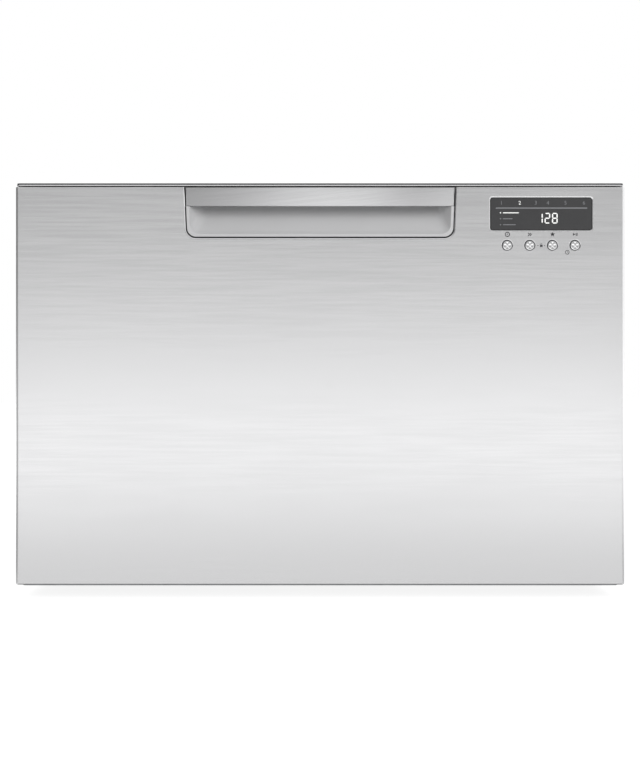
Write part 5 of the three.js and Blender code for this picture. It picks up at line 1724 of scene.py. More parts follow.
@dataclass
class Runners(Assembly):
    """The telescopic runners: three rolled channels a side with balls between them, and the brackets."""

    sheet: float = 1.4
    lip: float = 4.0
    bend: float = 1.6
    ball_radius: float = 1.12
    ball_pitch: float = 14.0
    ball_count: int = 16
    cage_reach: Span = (1.7, 1.6)
    cage_end: float = 6.0

    def build(self) -> None:
        """Makes both runners."""
        for side, way in SIDES.items():
            middle = f"{side}_middle_rail"
            pieces = [
                (f"{side}_outer_rail", "chassis", self.channel(f"{side}_outer_rail", True, self.lip)),
                (middle, middle, self.channel(middle, True)),
                (f"{side}_inner_rail", "drawer", self.channel(f"{side}_inner_rail", False)),
                (f"{side}_runner_bracket", "drawer", self.hanger(f"{side}_runner_bracket")),
            ]
            for name, body, solid in pieces:
                self.add(f"{name}_steel", solid.on_side(way), ZINC, [name], body)
            strips, balls = self.cages(side)
            self.add(f"{side}_ball_cages", strips.on_side(way), BLACK, body=middle)
            self.add(f"{side}_ball_balls", balls.on_side(way), SCREW, body=middle)

    def rolled(self, points: Flat, ys: Span) -> Solid:
        """A strip of sheet bent along a line seen from the front, pushed along Y."""
        line = bent(Axis.Y.ring(points, 0.0), self.bend, 4)
        return Solid().prism(Axis.Y, thick_line([(p.x, p.z) for p in line], self.sheet), ys)

    def channel(self, node: str, web_outside: bool, lip: float = 0.0) -> Solid:
        """One member of a runner, drawn for the right-hand side.

        Args:
            node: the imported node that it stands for.
            web_outside: whether its web is on the side of the cabinet.
            lip: how far its flanges turn in at the mouth.

        Returns:
            The member.
        """
        box = Extent.of(node)
        near, far = box.reach
        half = self.sheet / 2
        web, mouth, inward = (far - half, near, 1) if web_outside else (near + half, far, -1)
        top, foot = box.high.z - half, box.low.z + half
        points = [(mouth, top), (web, top), (web, foot), (mouth, foot)]
        if lip:
            edge = mouth + inward * half
            points = [(edge, top - lip - half), (edge, top), (web, top), (web, foot), (edge, foot),
                      (edge, foot + lip + half)]
        return self.rolled(points, (box.low.y, box.high.y))

    def hanger(self, node: str) -> Solid:
        """The bracket between the inner member and the tub.

        Args:
            node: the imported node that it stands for.

        Returns:
            The bracket.
        """
        box = Extent.of(node)
        near, far = drawn_in(box.reach, self.sheet / 2)
        foot, top = box.low.z + self.sheet / 2, box.high.z
        return self.rolled([(near, top), (near, foot), (far, foot), (far, top)], (box.low.y, box.high.y))

    def cages(self, side: str) -> tuple[Solid, Solid]:
        """The ball strips above and below the middle member, at its rear outside and its front inside.

        Args:
            side: name of the side; they are drawn for the right-hand one.

        Returns:
            The strips, and the balls in them.
        """
        outer, middle, inner = (Extent.of(f"{side}_{name}_rail") for name in ("outer", "middle", "inner"))
        x = sum(middle.reach) / 2
        run = self.ball_count * self.ball_pitch
        strips, balls = Solid(), Solid()
        for larger, smaller, y0 in [(outer, middle, middle.high.y - run - self.cage_end),
                                    (middle, inner, middle.low.y + self.cage_end)]:
            gap = smaller.low.z - larger.low.z - self.sheet
            strip = rounded_box((x - self.cage_reach[0], x + self.cage_reach[1]), (y0, y0 + run), 1.0, 3)
            for z in (smaller.low.z - gap / 2, smaller.high.z + gap / 2):
                strips.prism(Axis.Z, strip, about(z, 0.25))
                for k in range(self.ball_count):
                    balls.ball(Vector((x, y0 + (k + 0.5) * self.ball_pitch, z)), self.ball_radius)
        return strips, balls


@dataclass
class Lid(Assembly):
    """The lid over the tub: a ribbed tray with a double-lipped seal, lifted by a rod on each side."""

    body: str = "lid"
    overhang: float = 10.0
    sheet: float = 3.0
    fillet: float = 2.5
    edge: float = 0.6
    rib: float = 3.0
    rib_height: float = 5.0
    rib_inset: float = 27.0
    seal_inset: float = 1.0
    seal_width: float = 7.0
    rod_radius: float = 4.0
    arm_half: float = 8.0

    def build(self) -> None:
        """Makes the lid."""
        plan = TubPlan.of_frame()
        self.tray(plan)
        self.seal(plan)
        for side, way in SIDES.items():
            self.rod(side, way)

    def tray(self, plan: TubPlan) -> None:
        """Adds the tray and the crossing ribs in it.

        Args:
            plan: of the tub.
        """
        node = Extent.of("lid_panel")
        out, inn, edge = self.overhang, self.overhang - self.sheet, self.edge
        low, top, floor = node.low.z, node.high.z, node.low.z + self.sheet
        profile = [(out - self.fillet, low), (out - 0.7, low + 0.8), (out, low + self.fillet),
                   (out, top - edge), (out - edge, top), (inn + edge, top), (inn, top - edge),
                   (inn, floor + 2), (inn - 0.6, floor + 0.6), (inn - 2, floor)]
        self.add("lid_tray", Solid().loft(plan.through(profile)), LID_GREY, ["lid_panel"], crease=50)
        xs, ys = (drawn_in(span, self.rib_inset - inn) for span in (plan.xs, plan.ys))
        ribs, half, foot = Solid(), self.rib / 2, floor - 0.5
        for x in spread(7, 70):
            ribs.box(about(x, half), ys, (foot, floor + self.rib_height))
        for y in spread(5, 80, node.middle.y):
            ribs.box(xs, about(y, half), (foot, floor + self.rib_height - 0.4))
        self.add("lid_ribs", ribs, LID_GREY, bevel=0.5)

    def seal(self, plan: TubPlan) -> None:
        """Adds the rubber seal under the lid's edge.

        Args:
            plan: of the tub.
        """
        node = Extent.of("lid_seal")
        low, top = node.low.z, node.high.z
        out = self.overhang - self.seal_inset
        inn = out - self.seal_width
        lip = [(0.0, top), (0.0, top - 1.4), (0.9, low + 0.5), (1.8, low), (2.5, low + 0.2)]
        profile = [*((out - inset, z) for inset, z in lip), (out - self.seal_width / 2, low + 1.3),
                   *((inn + inset, z) for inset, z in reversed(lip))]
        seal = Solid().loft(plan.through(profile), closed=True)
        self.add("lid_seal_rubber", seal, RUBBER, ["lid_seal"], crease=60)

    def rod(self, side: str, way: int) -> None:
        """Adds the rod that one actuator lifts the lid with, and its arm.

        Args:
            side: its name.
            way: 1 for right, -1 for left.
        """
        node = Extent.of(f"{side}_lid_rod")
        y, top, foot, r = node.middle.y, node.high.z, node.low.z, self.rod_radius
        profile = [(r - 1, foot), (r, foot + 1), (r, top - 18), (r - 0.6, top - 17.6), (r - 0.6, top - 16),
                   (r, top - 15.6), (r, top - 2)]
        rod = Solid().turned(Axis.Z, node.reach[1] - r, y, profile, 28)

        def arm(inset: float) -> Flat:
            """The arm from above."""
            return rounded_box(drawn_in(node.reach, inset), about(y, self.arm_half - inset), 3.5 - inset, 5)

        rod.edged(Axis.Z, arm, top, top - 8, 0.8)
        self.add(f"{side}_lid_lifter", rod.on_side(way), WHITE, [f"{side}_lid_rod"])


@dataclass
class Tub(Assembly):
    """The moulded tub: its walls, rim and floor, and the two bowls under the floor."""

    wall: float = 3.0
    fillet: float = 12.0
    rim_width: float = 6.0
    rim_thickness: float = 4.0
    edge: float = 0.6
    rib: float = 2.2
    rib_drops: tuple[float, float] = (76.0, 20.0)
    bead: float = 1.4
    bead_drop: float = 46.0
    sump_depth: float = 20.0
    sump_radius: float = 84.0
    sump_fillet: float = 9.0
    well_radius: float = 30.0
    well_fillet: float = 4.0
    dispenser_flange: float = 3.7
    fan_opening: float = 28.0

    def build(self) -> None:
        """Makes the tub."""
        plan = TubPlan.of_frame()
        node = Extent.of("tub")
        under = node.low.z + self.sump_depth
        well = Extent.of("drain_filter").middle
        shell = Solid().loft(plan.through(self.profile(under, node.high.z)))
        holes, bowls = Solid(), Solid()
        for x, y, radius, fillet in [(sum(plan.xs) / 2, sum(plan.ys) / 2, self.sump_radius, self.sump_fillet),
                                     (well.x, well.y, self.well_radius, self.well_fillet)]:
            holes.prism(Axis.Z, circle(radius, x, y, 64), (under - 5, under + 8))
            bowls.turned(Axis.Z, x, y, self.bowl(radius, fillet, node.low.z, under + self.wall), 64)
        door, fan = Extent.of("dispenser_housing"), Extent.of("fan_housing").middle
        through = (plan.ys[0] - 1, plan.ys[0] + self.wall + 1)
        ways = Solid().box(drawn_in((door.low.x, door.high.x), self.dispenser_flange), through,
                           drawn_in((door.low.z, door.high.z), self.dispenser_flange))
        ways.prism(Axis.Y, circle(self.fan_opening, fan.x, fan.z, 40), through)
        self.add("tub_moulding", shell.cut(holes, ways).add(bowls), TUB_GREY, ["tub"], crease=40)

    def profile(self, under: float, rim: float) -> Flat:
        """The walls from the underside, up the outside, over the rim and down the inside.

        Args:
            under: height of the underside.
            rim: height of the rim's top.

        Returns:
            (how far outside the plan, height) of each point.
        """
        wall, edge, fillet = self.wall, self.edge, self.fillet
        outer_turn = arc(-fillet, under + fillet, fillet, -90, 0, 6)
        inner_turn = arc(-fillet, under + fillet, fillet - wall, 0, -90, 6)
        rib = [(0, -2.5), (self.rib, -1.5), (self.rib, 1.5), (0, 2.5)]
        heights = (under + self.rib_drops[0], rim - self.rib_drops[1])
        ribs = [(out, z + rise) for z in heights for out, rise in rib]
        bead = [(-wall, 5), (-wall - self.bead, 3.5), (-wall - self.bead, -3.5), (-wall, -5)]
        flange, width = rim - self.rim_thickness, self.rim_width
        return [*outer_turn, *ribs, (0, flange - edge), (edge, flange), (width - edge, flange),
                (width, flange + edge), (width, rim - edge), (width - edge, rim), (-wall + edge, rim),
                (-wall, rim - edge), *((out, rim - self.bead_drop + rise) for out, rise in bead), *inner_turn]

    def bowl(self, radius: float, fillet: float, low: float, top: float) -> Flat:
        """The profile of a round bowl that hangs from the floor and opens into it.

        Args:
            radius: outside.
            fillet: between its wall and its foot, outside.
            low, top: heights of its foot and its mouth.

        Returns:
            The profile.
        """
        inner = radius - self.wall
        turn = fillet - self.wall
        return [(0, low), *arc(radius - fillet, low + fillet, fillet, -90, 0, 5), (radius, top),
                (inner + 1.5, top), (inner + 0.4, top - 0.5), (inner, top - 1.6),
                *arc(inner - turn, low + self.wall + turn, turn, 0, -90, 5), (0, low + self.wall)]


@dataclass
class WashSystem(Assembly):
    """What pumps, heats, sprays and filters the water."""

    hole_radius: float = 1.6
    hole_pitch: float = 9.0
    hole_rows: int = 9
    first_row: float = 12.0
    hub_hole: float = 22.0
    filter_margin: float = 19.0
    cup_radius: float = 24.5
    cup_ribs: int = 20
    nozzles: tuple[float, ...] = (46, 72, 98, 124, 150, 176, 193)
    nozzle_offsets: tuple[float, float] = (-4.0, 6.0)
    jet_radius: float = 1.5
    tip_half: float = 15.0
    root_half: float = 22.0
    stations: int = 24
    spindle: float = 4.3
    socket_pitch: float = 24.0
    socket_half: float = 9.0
    seam_lift: float = 0.8
    screw_inset: float = 8.0

    def build(self) -> None:
        """Makes every piece of the wash system."""
        for name, finish, bevel in [("pump_housing", BLACK, 0.4), ("pump_rotor", WHITE, 0.3),
                                    ("motor_stator", WINDINGS, 0.8), ("heater_ring", PLATE, 1.5),
                                    ("controller_box", BLACK, 1.2)]:
            self.dress(name, finish, bevel)
        self.controller_details()
        self.filter_plate()
        self.drain_filter()
        self.spray_arm()

    def controller_details(self) -> None:
        """Adds the parting line, the screws and the plug sockets of the controller's box."""
        box = Extent.of("controller_box")
        low, high = box.low, box.high
        sockets = Solid()
        xs, ys = (low.x, high.x), (low.y, high.y)
        for x in spread(4, self.socket_pitch, box.middle.x):
            sockets.box(about(x, self.socket_half), (high.y - 0.5, high.y + 6), (low.z + 6, low.z + 16))
        seam = rounded_box(drawn_in(xs, -self.seam_lift), drawn_in(ys, -self.seam_lift), 2)
        sockets.prism(Axis.Z, seam, about(box.middle.z, 1))
        corners = [(x, y) for x in drawn_in(xs, self.screw_inset) for y in drawn_in(ys, self.screw_inset)]
        self.add("controller_sockets", sockets, CHARCOAL, bevel=0.5)
        self.add("controller_screws", screw_heads(Axis.Z, corners, low.z, -1.4), SCREW)

    def filter_plate(self) -> None:
        """Adds the perforated plate on the floor of the tub."""
        node = Extent.of("filter_plate")
        well = Extent.of("drain_filter").middle
        x, y = node.middle.x, node.middle.y
        holes = [circle(self.hub_hole, x, y, 48), circle(self.cup_radius + 1.5, well.x, well.y, 48)]
        for ring in range(self.hole_rows):
            radius = self.hub_hole + self.first_row + ring * self.hole_pitch
            count = int(math.tau * radius / self.hole_pitch)
            for k in range(count):
                turn = math.tau * (k + ring % 2 / 2) / count
                u, v = x + radius * math.cos(turn), y + radius * math.sin(turn)
                if math.hypot(u - well.x, v - well.y) > self.cup_radius + 8:
                    holes.append(circle(self.hole_radius, u, v, 8))
        outline = TubPlan.of_frame().outline(-self.filter_margin)
        sheet = Solid().plate(Axis.Z, outline, holes, (node.low.z, node.high.z), 0.3)
        self.add("filter_sheet", sheet, PLATE, ["filter_plate"])

    def drain_filter(self) -> None:
        """Adds the drain filter: a ribbed cup with fine mesh in it, a rim and a handle to turn it by."""
        name = "drain_filter"
        node = Extent.of(name)
        x, y, foot, top = node.middle.x, node.middle.y, node.low.z, node.high.z
        rim = Extent.of("filter_plate").high.z + 0.3
        r, outer = self.cup_radius, node.size.x / 2
        floor = [(0, foot), (r - 0.8, foot), (r, foot + 0.8), (r, foot + 3), (0, foot + 3)]
        collar = [(r - 2, rim - 3), (r, rim - 3), (r, rim), (outer, rim), (outer, rim + 0.7),
                  (outer - 0.6, rim + 1.2), (r - 2, rim + 1.2)]
        cup = Solid().turned(Axis.Z, x, y, floor).ringed(Axis.Z, x, y, collar, 48)
        for z in (foot + 8, foot + 14):
            cup.ringed(Axis.Z, x, y, block_profile(r - 1.6, r - 0.2, about(z, 0.6)), 48)
        rib = ((r - 1.8, r - 0.1), (-0.7, 0.7), (foot + 2, rim - 2))
        cup.around(x, y, self.cup_ribs, lambda: Solid().box(*rib))

        def grip(inset: float) -> Flat:
            """The handle from above."""
            return rounded_box(about(x, 2 - inset), about(y, r - 1 - inset), 1.9 - inset, 5)

        cup.edged(Axis.Z, grip, top, rim - 0.5, 1.2)
        self.add("drain_filter_cup", cup, CHARCOAL, [name], name)
        mesh = block_profile(r - 2.4, r - 1.9, (foot + 2.5, rim - 2.5))
        self.add("drain_filter_mesh", Solid().ringed(Axis.Z, x, y, mesh, 48), PLATE, body=name)

    def spray_arm(self) -> None:
        """Adds the spray arm: two crowned blades on a hub, with a row of jets along each."""
        node = Extent.of("spray_arm")
        y, reach = node.middle.y, node.size.x / 2
        foot, head = node.low.z, node.high.z
        low, high = foot + 3, head - 1
        middle = (low + high) / 2
        straight = reach - self.tip_half
        rings = []
        for k in range(-self.stations, self.stations + 1):
            x = reach * math.sin(math.pi / 2 * k / self.stations)
            half = self.root_half + (self.tip_half - self.root_half) * abs(x) / straight
            if abs(x) > straight:
                half = math.sqrt(max(self.tip_half ** 2 - (abs(x) - straight) ** 2, 0.5))
            crown = min(1.0, half / 8)
            zs = (middle - (middle - low) * crown, middle + (high - middle) * crown)
            rings.append(Axis.X.ring(rounded_box(about(y, half), zs, (zs[1] - zs[0]) / 2.2, 6), x))
        hub = [(0, foot), (21, foot), (23.5, foot + 1), (24, foot + 3), (24, high - 1), (22.5, head - 0.4),
               (20, head), (0, head)]
        arm = Solid().loft(rings).turned(Axis.Z, 0, y, hub, 48)
        bore = Solid().turned(Axis.Z, 0, y, [(self.spindle, foot - 1), (self.spindle, head + 1)], 24)
        jets, collars, r = Solid(), Solid(), self.jet_radius
        collar = [(r, high - 0.4), (r + 1.6, high - 0.4), (r + 1.2, high + 0.35), (r + 0.3, high + 0.35)]
        for k, x in enumerate(self.nozzles):
            for way in (-1, 1):
                v = y + self.nozzle_offsets[k % 2] * way
                jets.turned(Axis.Z, way * x, v, [(r, high - 1.2), (r, high + 1)], 16)
                collars.ringed(Axis.Z, way * x, v, collar, 20)
        self.add("spray_arm_blades", arm.cut(bore, jets).add(collars), CHARCOAL, ["spray_arm"], "spray_arm")
        cap = [(4.6, head - 0.2), (14, head - 0.2), (13, head), (6, head)]
        self.add("spray_arm_cap", Solid().ringed(Axis.Z, 0, y, cap), LID_GREY, body="spray_arm")


@dataclass
class Racks(Assembly):
    """The racks of coated wire, their hinges, and the cutlery basket."""

    wire: float = 1.85
    thin_wire: float = 1.65
    bend: float = 12.0
    floor_drop: float = 156.0
    inset: float = 3.6
    cross_pitch: float = 50.0
    cross_count: int = 9
    long_pitch: float = 55.0
    long_count: int = 8
    rim_corner: float = 23.0
    leg_inset: float = 20.0
    rim_height: float = 75.0
    clip: float = 9.0
    clip_corner: float = 2.6
    clip_half: float = 3.0
    clip_place: float = 4.0
    rod_play: float = 0.4
    tine_pitch: float = 27.0
    tine_count: int = 12
    shelf_ribs: int = 8
    shelf_inset: float = 16.0
    basket_wall: float = 2.0
    basket_edge: float = 0.4
    basket_rim: float = 1.6
    basket_drop: float = 28.0
    slot_size: tuple[float, float] = (24.0, 5.0)
    slot_heights: tuple[float, ...] = (22.0, 52.0, 82.0)
    face_slots: tuple[int, float] = (20, 10.4)
    end_slots: tuple[int, float] = (4, 11.0)
    floor_slots: tuple[tuple[int, float], tuple[int, float]] = ((17, 12.4), (5, 9.5))
    divider_place: float = 28.0
    handle_radius: float = 3.0
    handle_bend: float = 9.0

    def build(self) -> None:
        """Makes the racks."""
        self.rack()
        rows = [f"tine_row_{k}" for k in range(1, 5)]
        for name in rows:
            self.tine_row(name)
        for side, way in SIDES.items():
            self.shelf(side, way)
        self.clips([Extent.of(name) for name in rows])
        self.basket()

    def rack(self) -> None:
        """Adds the fixed rack: crossing bent wires, a rim, a bar along the top of each side, and legs."""
        node = Extent.of("lower_rack")
        w, inset, middle, top = self.wire, self.inset, node.middle.y, node.high.z
        x0, x1 = drawn_in((node.low.x, node.high.x), w)
        y0, y1 = drawn_in((node.low.y, node.high.y), w)
        floor = Extent.of("filter_plate").high.z + 0.3
        cross_z = top - self.floor_drop
        rim_z = cross_z - w + self.rim_height - w
        rack = Solid()
        for y in spread(self.cross_count, self.cross_pitch, middle):
            left, right = drawn_in((x0, x1), inset)
            path = [(left, top - 1), (left, cross_z), (right, cross_z), (right, top - 1)]
            rack.tube(bent(Axis.Y.ring(path, y), self.bend), w, 10, tip=0.8)
        long_z = cross_z + 2 * w - 0.5
        for x in spread(self.long_count, self.long_pitch):
            front, rear = drawn_in((y0, y1), inset)
            path = [(front, rim_z + w), (front, long_z), (rear, long_z), (rear, rim_z + w)]
            rack.tube(bent(Axis.X.ring(path, x), self.bend), w, 10, tip=0.8)
        rim = rounded_box((x0, x1), (y0, y1), self.rim_corner, 8)
        rack.tube(Axis.Z.ring(rim, rim_z), w, 10, closed=True)
        step = (self.cross_count - 1) * self.cross_pitch / 2
        for x in (x0, x1):
            ends = [(x, y) for y in about(middle, step + 2 * w)]
            rack.tube(Axis.Z.ring(ends, top - w), w, 10, tip=0.8)
        pads = Solid()
        pad = [(2.6, floor), (3.6, floor + 0.8), (3.6, floor + 4), (2.4, floor + 6)]
        for x in drawn_in((node.low.x, node.high.x), self.leg_inset):
            for y in about(middle, step):
                rack.tube([Vector((x, y, cross_z)), Vector((x, y, floor + 2))], w, 10)
                pads.turned(Axis.Z, x, y, pad, 20)
        self.add("rack_wires", rack, WIRE, ["lower_rack"])
        self.add("rack_leg_pads", pads, RUBBER)

    def tine_row(self, name: str) -> None:
        """Adds one row of tines on its hinge rod.

        Args:
            name: of the row, its node and its body.
        """
        node = Extent.of(name)
        x, z = node.middle.x, node.low.z + self.wire
        row = Solid().tube([Vector((x, node.low.y, z)), Vector((x, node.high.y, z))], self.wire, 12)
        for y in spread(self.tine_count, self.tine_pitch, node.middle.y):
            row.tube([Vector((x, y, z)), Vector((x, y, node.high.z - 1.4))], self.thin_wire, 10, tip=1.3)
        self.add(f"{name}_wires", row, WIRE, [name], name)

    def shelf(self, side: str, way: int) -> None:
        """Adds one fold-up shelf for cups.

        Args:
            side: its name.
            way: 1 for right, -1 for left.
        """
        name = f"{side}_cup_rack"
        node = Extent.of(name)
        w, z = self.wire, node.middle.z
        near, pivot = node.reach[0], node.reach[1] - w
        inner = near + w
        y0, y1 = drawn_in((node.low.y, node.high.y), self.shelf_inset + w)
        shelf = Solid().tube([Vector((pivot, y, z)) for y in (node.low.y, node.high.y)], w, 12)
        hoop = Axis.Z.ring([(pivot, y0), (inner, y0), (inner, y1), (pivot, y1)], z)
        shelf.tube(bent(hoop, self.bend), w, 10)
        for y in spread(self.shelf_ribs - 2, (y1 - y0) / (self.shelf_ribs - 1), (y0 + y1) / 2):
            shelf.tube([Vector((x, y, z)) for x in (pivot, inner)], self.thin_wire, 10)
        middle = (pivot + near) / 2
        shelf.tube([Vector((middle, y, z - 0.2)) for y in (y0, y1)], w, 10)
        self.add(f"{side}_cup_shelf", shelf.on_side(way), WIRE, [name], name)

    def clips(self, rows: Sequence[Extent]) -> None:
        """Adds the moulded clips that hold the hinge rods on the rack.

        Args:
            rows: the rows of tines.
        """
        half = self.clip / 2
        hinges = [(row, row.middle.x, row.low.z + self.wire, (-half, half), 10.5) for row in rows]
        for side, way in SIDES.items():
            shelf = Extent.of(f"{side}_cup_rack")
            x = way * (shelf.reach[1] - self.wire)
            hinges.append((shelf, x, shelf.middle.z, tuple(sorted((-way * half, way * 11.0))), half))
        clips = Solid()
        for node, x, z, (left, right), drop in hinges:
            outline = rounded_box((x + left, x + right), (z - drop, z + half), self.clip_corner, 5)
            bore = circle(self.wire + self.rod_play, x, z, 20)
            for y in drawn_in((node.low.y, node.high.y), self.clip_place):
                clips.plate(Axis.Y, outline, [bore], about(y, self.clip_half), 0.5)
        self.add("rack_clips", clips, CHARCOAL)

    def basket(self) -> None:
        """Adds the cutlery basket: slotted walls and floor, two dividers, a rolled rim and a handle."""
        node = Extent.of("cutlery_basket")
        wall, edge, r = self.basket_wall, self.basket_edge, self.basket_rim
        x0, x1, y0, y1, foot = node.low.x, node.high.x, node.low.y, node.high.y, node.low.z
        middle = (y0 + y1) / 2
        top = node.high.z - self.basket_drop
        basket = Solid()

        def slots(places: list[float]) -> list[Flat]:
            """Upright slots at these places along a wall."""
            return [slot_shape(u, foot + z, *self.slot_size, upright=True)
                    for u in places for z in self.slot_heights]

        face, end = rounded_box((x0, x1), (foot, top), 5), rounded_box((y0 + 1, y1 - 1), (foot, top), 3)
        for y in (y0, y1 - wall):
            basket.plate(Axis.Y, face, slots(spread(*self.face_slots)), (y, y + wall), edge)
        end_slots = slots(spread(*self.end_slots, middle))
        for x in (x0, x1 - wall):
            basket.plate(Axis.X, end, end_slots, (x, x + wall), edge)
        along, across = self.floor_slots
        holes = [slot_shape(x, y, 8, 5) for x in spread(*along) for y in spread(*across, middle)]
        floor = rounded_box(drawn_in((x0, x1), 1), drawn_in((y0, y1), 1), 3)
        basket.plate(Axis.Z, floor, holes, (foot, foot + wall), edge)
        divider = rounded_box((y0 + 1, y1 - 1), (foot + 1, top), 1)
        for x in about(0, self.divider_place):
            basket.plate(Axis.X, divider, end_slots, about(x, 1), edge)
        rim = rounded_box(drawn_in((x0, x1), r), drawn_in((y0, y1), r), 4)
        basket.tube(Axis.Z.ring(rim, top - r), r, closed=True)
        left, right = about(0, self.divider_place)
        bar, head = self.handle_radius, node.high.z - self.handle_radius
        handle = [(left, foot + 4), (left, head), (right, head), (right, foot + 4)]
        basket.tube(bent(Axis.Y.ring(handle, middle), self.handle_bend, 6), bar, 12)
        self.add("cutlery_basket_moulding", basket, CHARCOAL, ["cutlery_basket"])


@dataclass
class FrontWallFittings(Assembly):
    """The detergent dispenser and the drying fan in the front wall of the tub."""

    flap_half: float = 32.0
    flap_thickness: float = 2.5
    barrel: float = 2.4
    pin: float = 1.4
    latch_half: float = 7.0
    cap_height: float = 6.0
    cap_skirt: float = 3.0
    cap_ridges: int = 32
    ring_radii: tuple[float, ...] = (9.0, 14.0, 19.0, 24.0)
    ring_width: float = 1.3

    def build(self) -> None:
        """Makes the fittings."""
        self.dress("dispenser_housing", CHARCOAL, 0.5)
        self.dress("fan_housing", BLACK, 0.4)
        self.dress("fan_rotor", WHITE, 0.2)
        self.flap()
        self.cap()
        self.grille()

    def flap(self) -> None:
        """Adds the detergent flap on its hinge, and the latch over it."""
        node, housing = Extent.of("dispenser_flap"), Extent.of("dispenser_housing")
        x, back, top = node.middle.x, node.low.y, node.high.z
        axis_z = node.low.z + self.barrel
        face = back + self.flap_thickness
        axis = node.high.y - self.barrel

        def plate(inset: float) -> Flat:
            """The flap from the tub's side."""
            half = self.flap_half - inset
            return rounded_box(about(x, half), drawn_in((axis_z, top), inset), 3.0 - inset, 6)

        def grip(inset: float, z: float, length: float, width: float) -> Flat:
            """A raised bar on the flap."""
            return slot_shape(x, z, length - 2 * inset, width - 2 * inset)

        def latch(inset: float) -> Flat:
            """The latch from the tub's side."""
            return rounded_box(about(x, self.latch_half - inset),
                               drawn_in((top + 1.2, housing.high.z - 2), inset), 1.5)

        flap = Solid().edged(Axis.Y, plate, face, back, 0.7)
        flap.turned(Axis.X, axis, axis_z, [(self.barrel, end) for end in about(x, self.flap_half)], 24)
        thin, first, last = self.pin - 0.3, node.low.x, node.high.x
        rod = [(thin, first), (self.pin, first + 0.5), (self.pin, last - 0.5), (thin, last)]
        flap.turned(Axis.X, axis, axis_z, rod, 20)
        for z in spread(5, 7, axis_z + 26):
            flap.edged(Axis.Y, lambda inset, z=z: grip(inset, z, 44, 2.2), face + 0.5, face - 0.3, 0.45, 3)
        flap.edged(Axis.Y, lambda inset: grip(inset, top - 8, 26, 6), face + 1.6, face - 0.3, 1.2)
        self.add("detergent_flap", flap, WHITE, ["dispenser_flap"], "dispenser_flap")
        self.add("detergent_latch", Solid().edged(Axis.Y, latch, face - 0.4, back - 0.6, 0.8), BLACK)

    def cap(self) -> None:
        """Adds the rinse-aid cap with its grip, and the marks round it."""
        node = Extent.of("rinse_cap")
        x, z, r, top = node.middle.x, node.middle.z, node.size.x / 2, node.high.y
        seat = top - self.cap_height
        face = seat + self.cap_skirt
        profile = [(r - 5.5, node.low.y), (r - 5.3, seat), (r - 0.5, seat), (r, seat + 0.5), (r, face - 0.8),
                   (r - 0.8, face), (r - 3, face), (r - 3.6, face - 0.5), (0, face - 0.5)]
        cap = Solid().turned(Axis.Y, x, z, profile, 56)
        for u, v in circle(r - 0.15, x, z, self.cap_ridges):
            cap.turned(Axis.Y, u, v, [(0.5, seat + 0.5), (0.5, face - 0.8)], 8)

        def grip(inset: float) -> Flat:
            """The bar that the cap is turned by."""
            return rounded_box(about(x, r - 3 - inset), about(z, 2 - inset), 1.8 - inset, 5)

        cap.edged(Axis.Y, grip, top, face - 1, 0.9)
        self.add("rinse_aid_cap", cap, WHITE, ["rinse_cap"], "rinse_cap")
        marks = Solid()
        for u, v in arc(x, z, r + 3.5, 30, 150, 5):
            marks.prism(Axis.Y, circle(0.9, u, v, 16), (seat - 0.5, seat - 0.18))
        self.add("rinse_aid_marks", marks, WHITE)

    def grille(self) -> None:
        """Adds rings across the fan's outlet."""
        node = Extent.of("fan_housing")
        span = (node.high.y - 2.2, node.high.y - 0.2)
        rings = Solid()
        for radius in self.ring_radii:
            ring = block_profile(radius, radius + self.ring_width, span)
            rings.ringed(Axis.Y, node.middle.x, node.middle.z, ring)
        self.add("fan_grille", rings, BLACK, bevel=0.2)


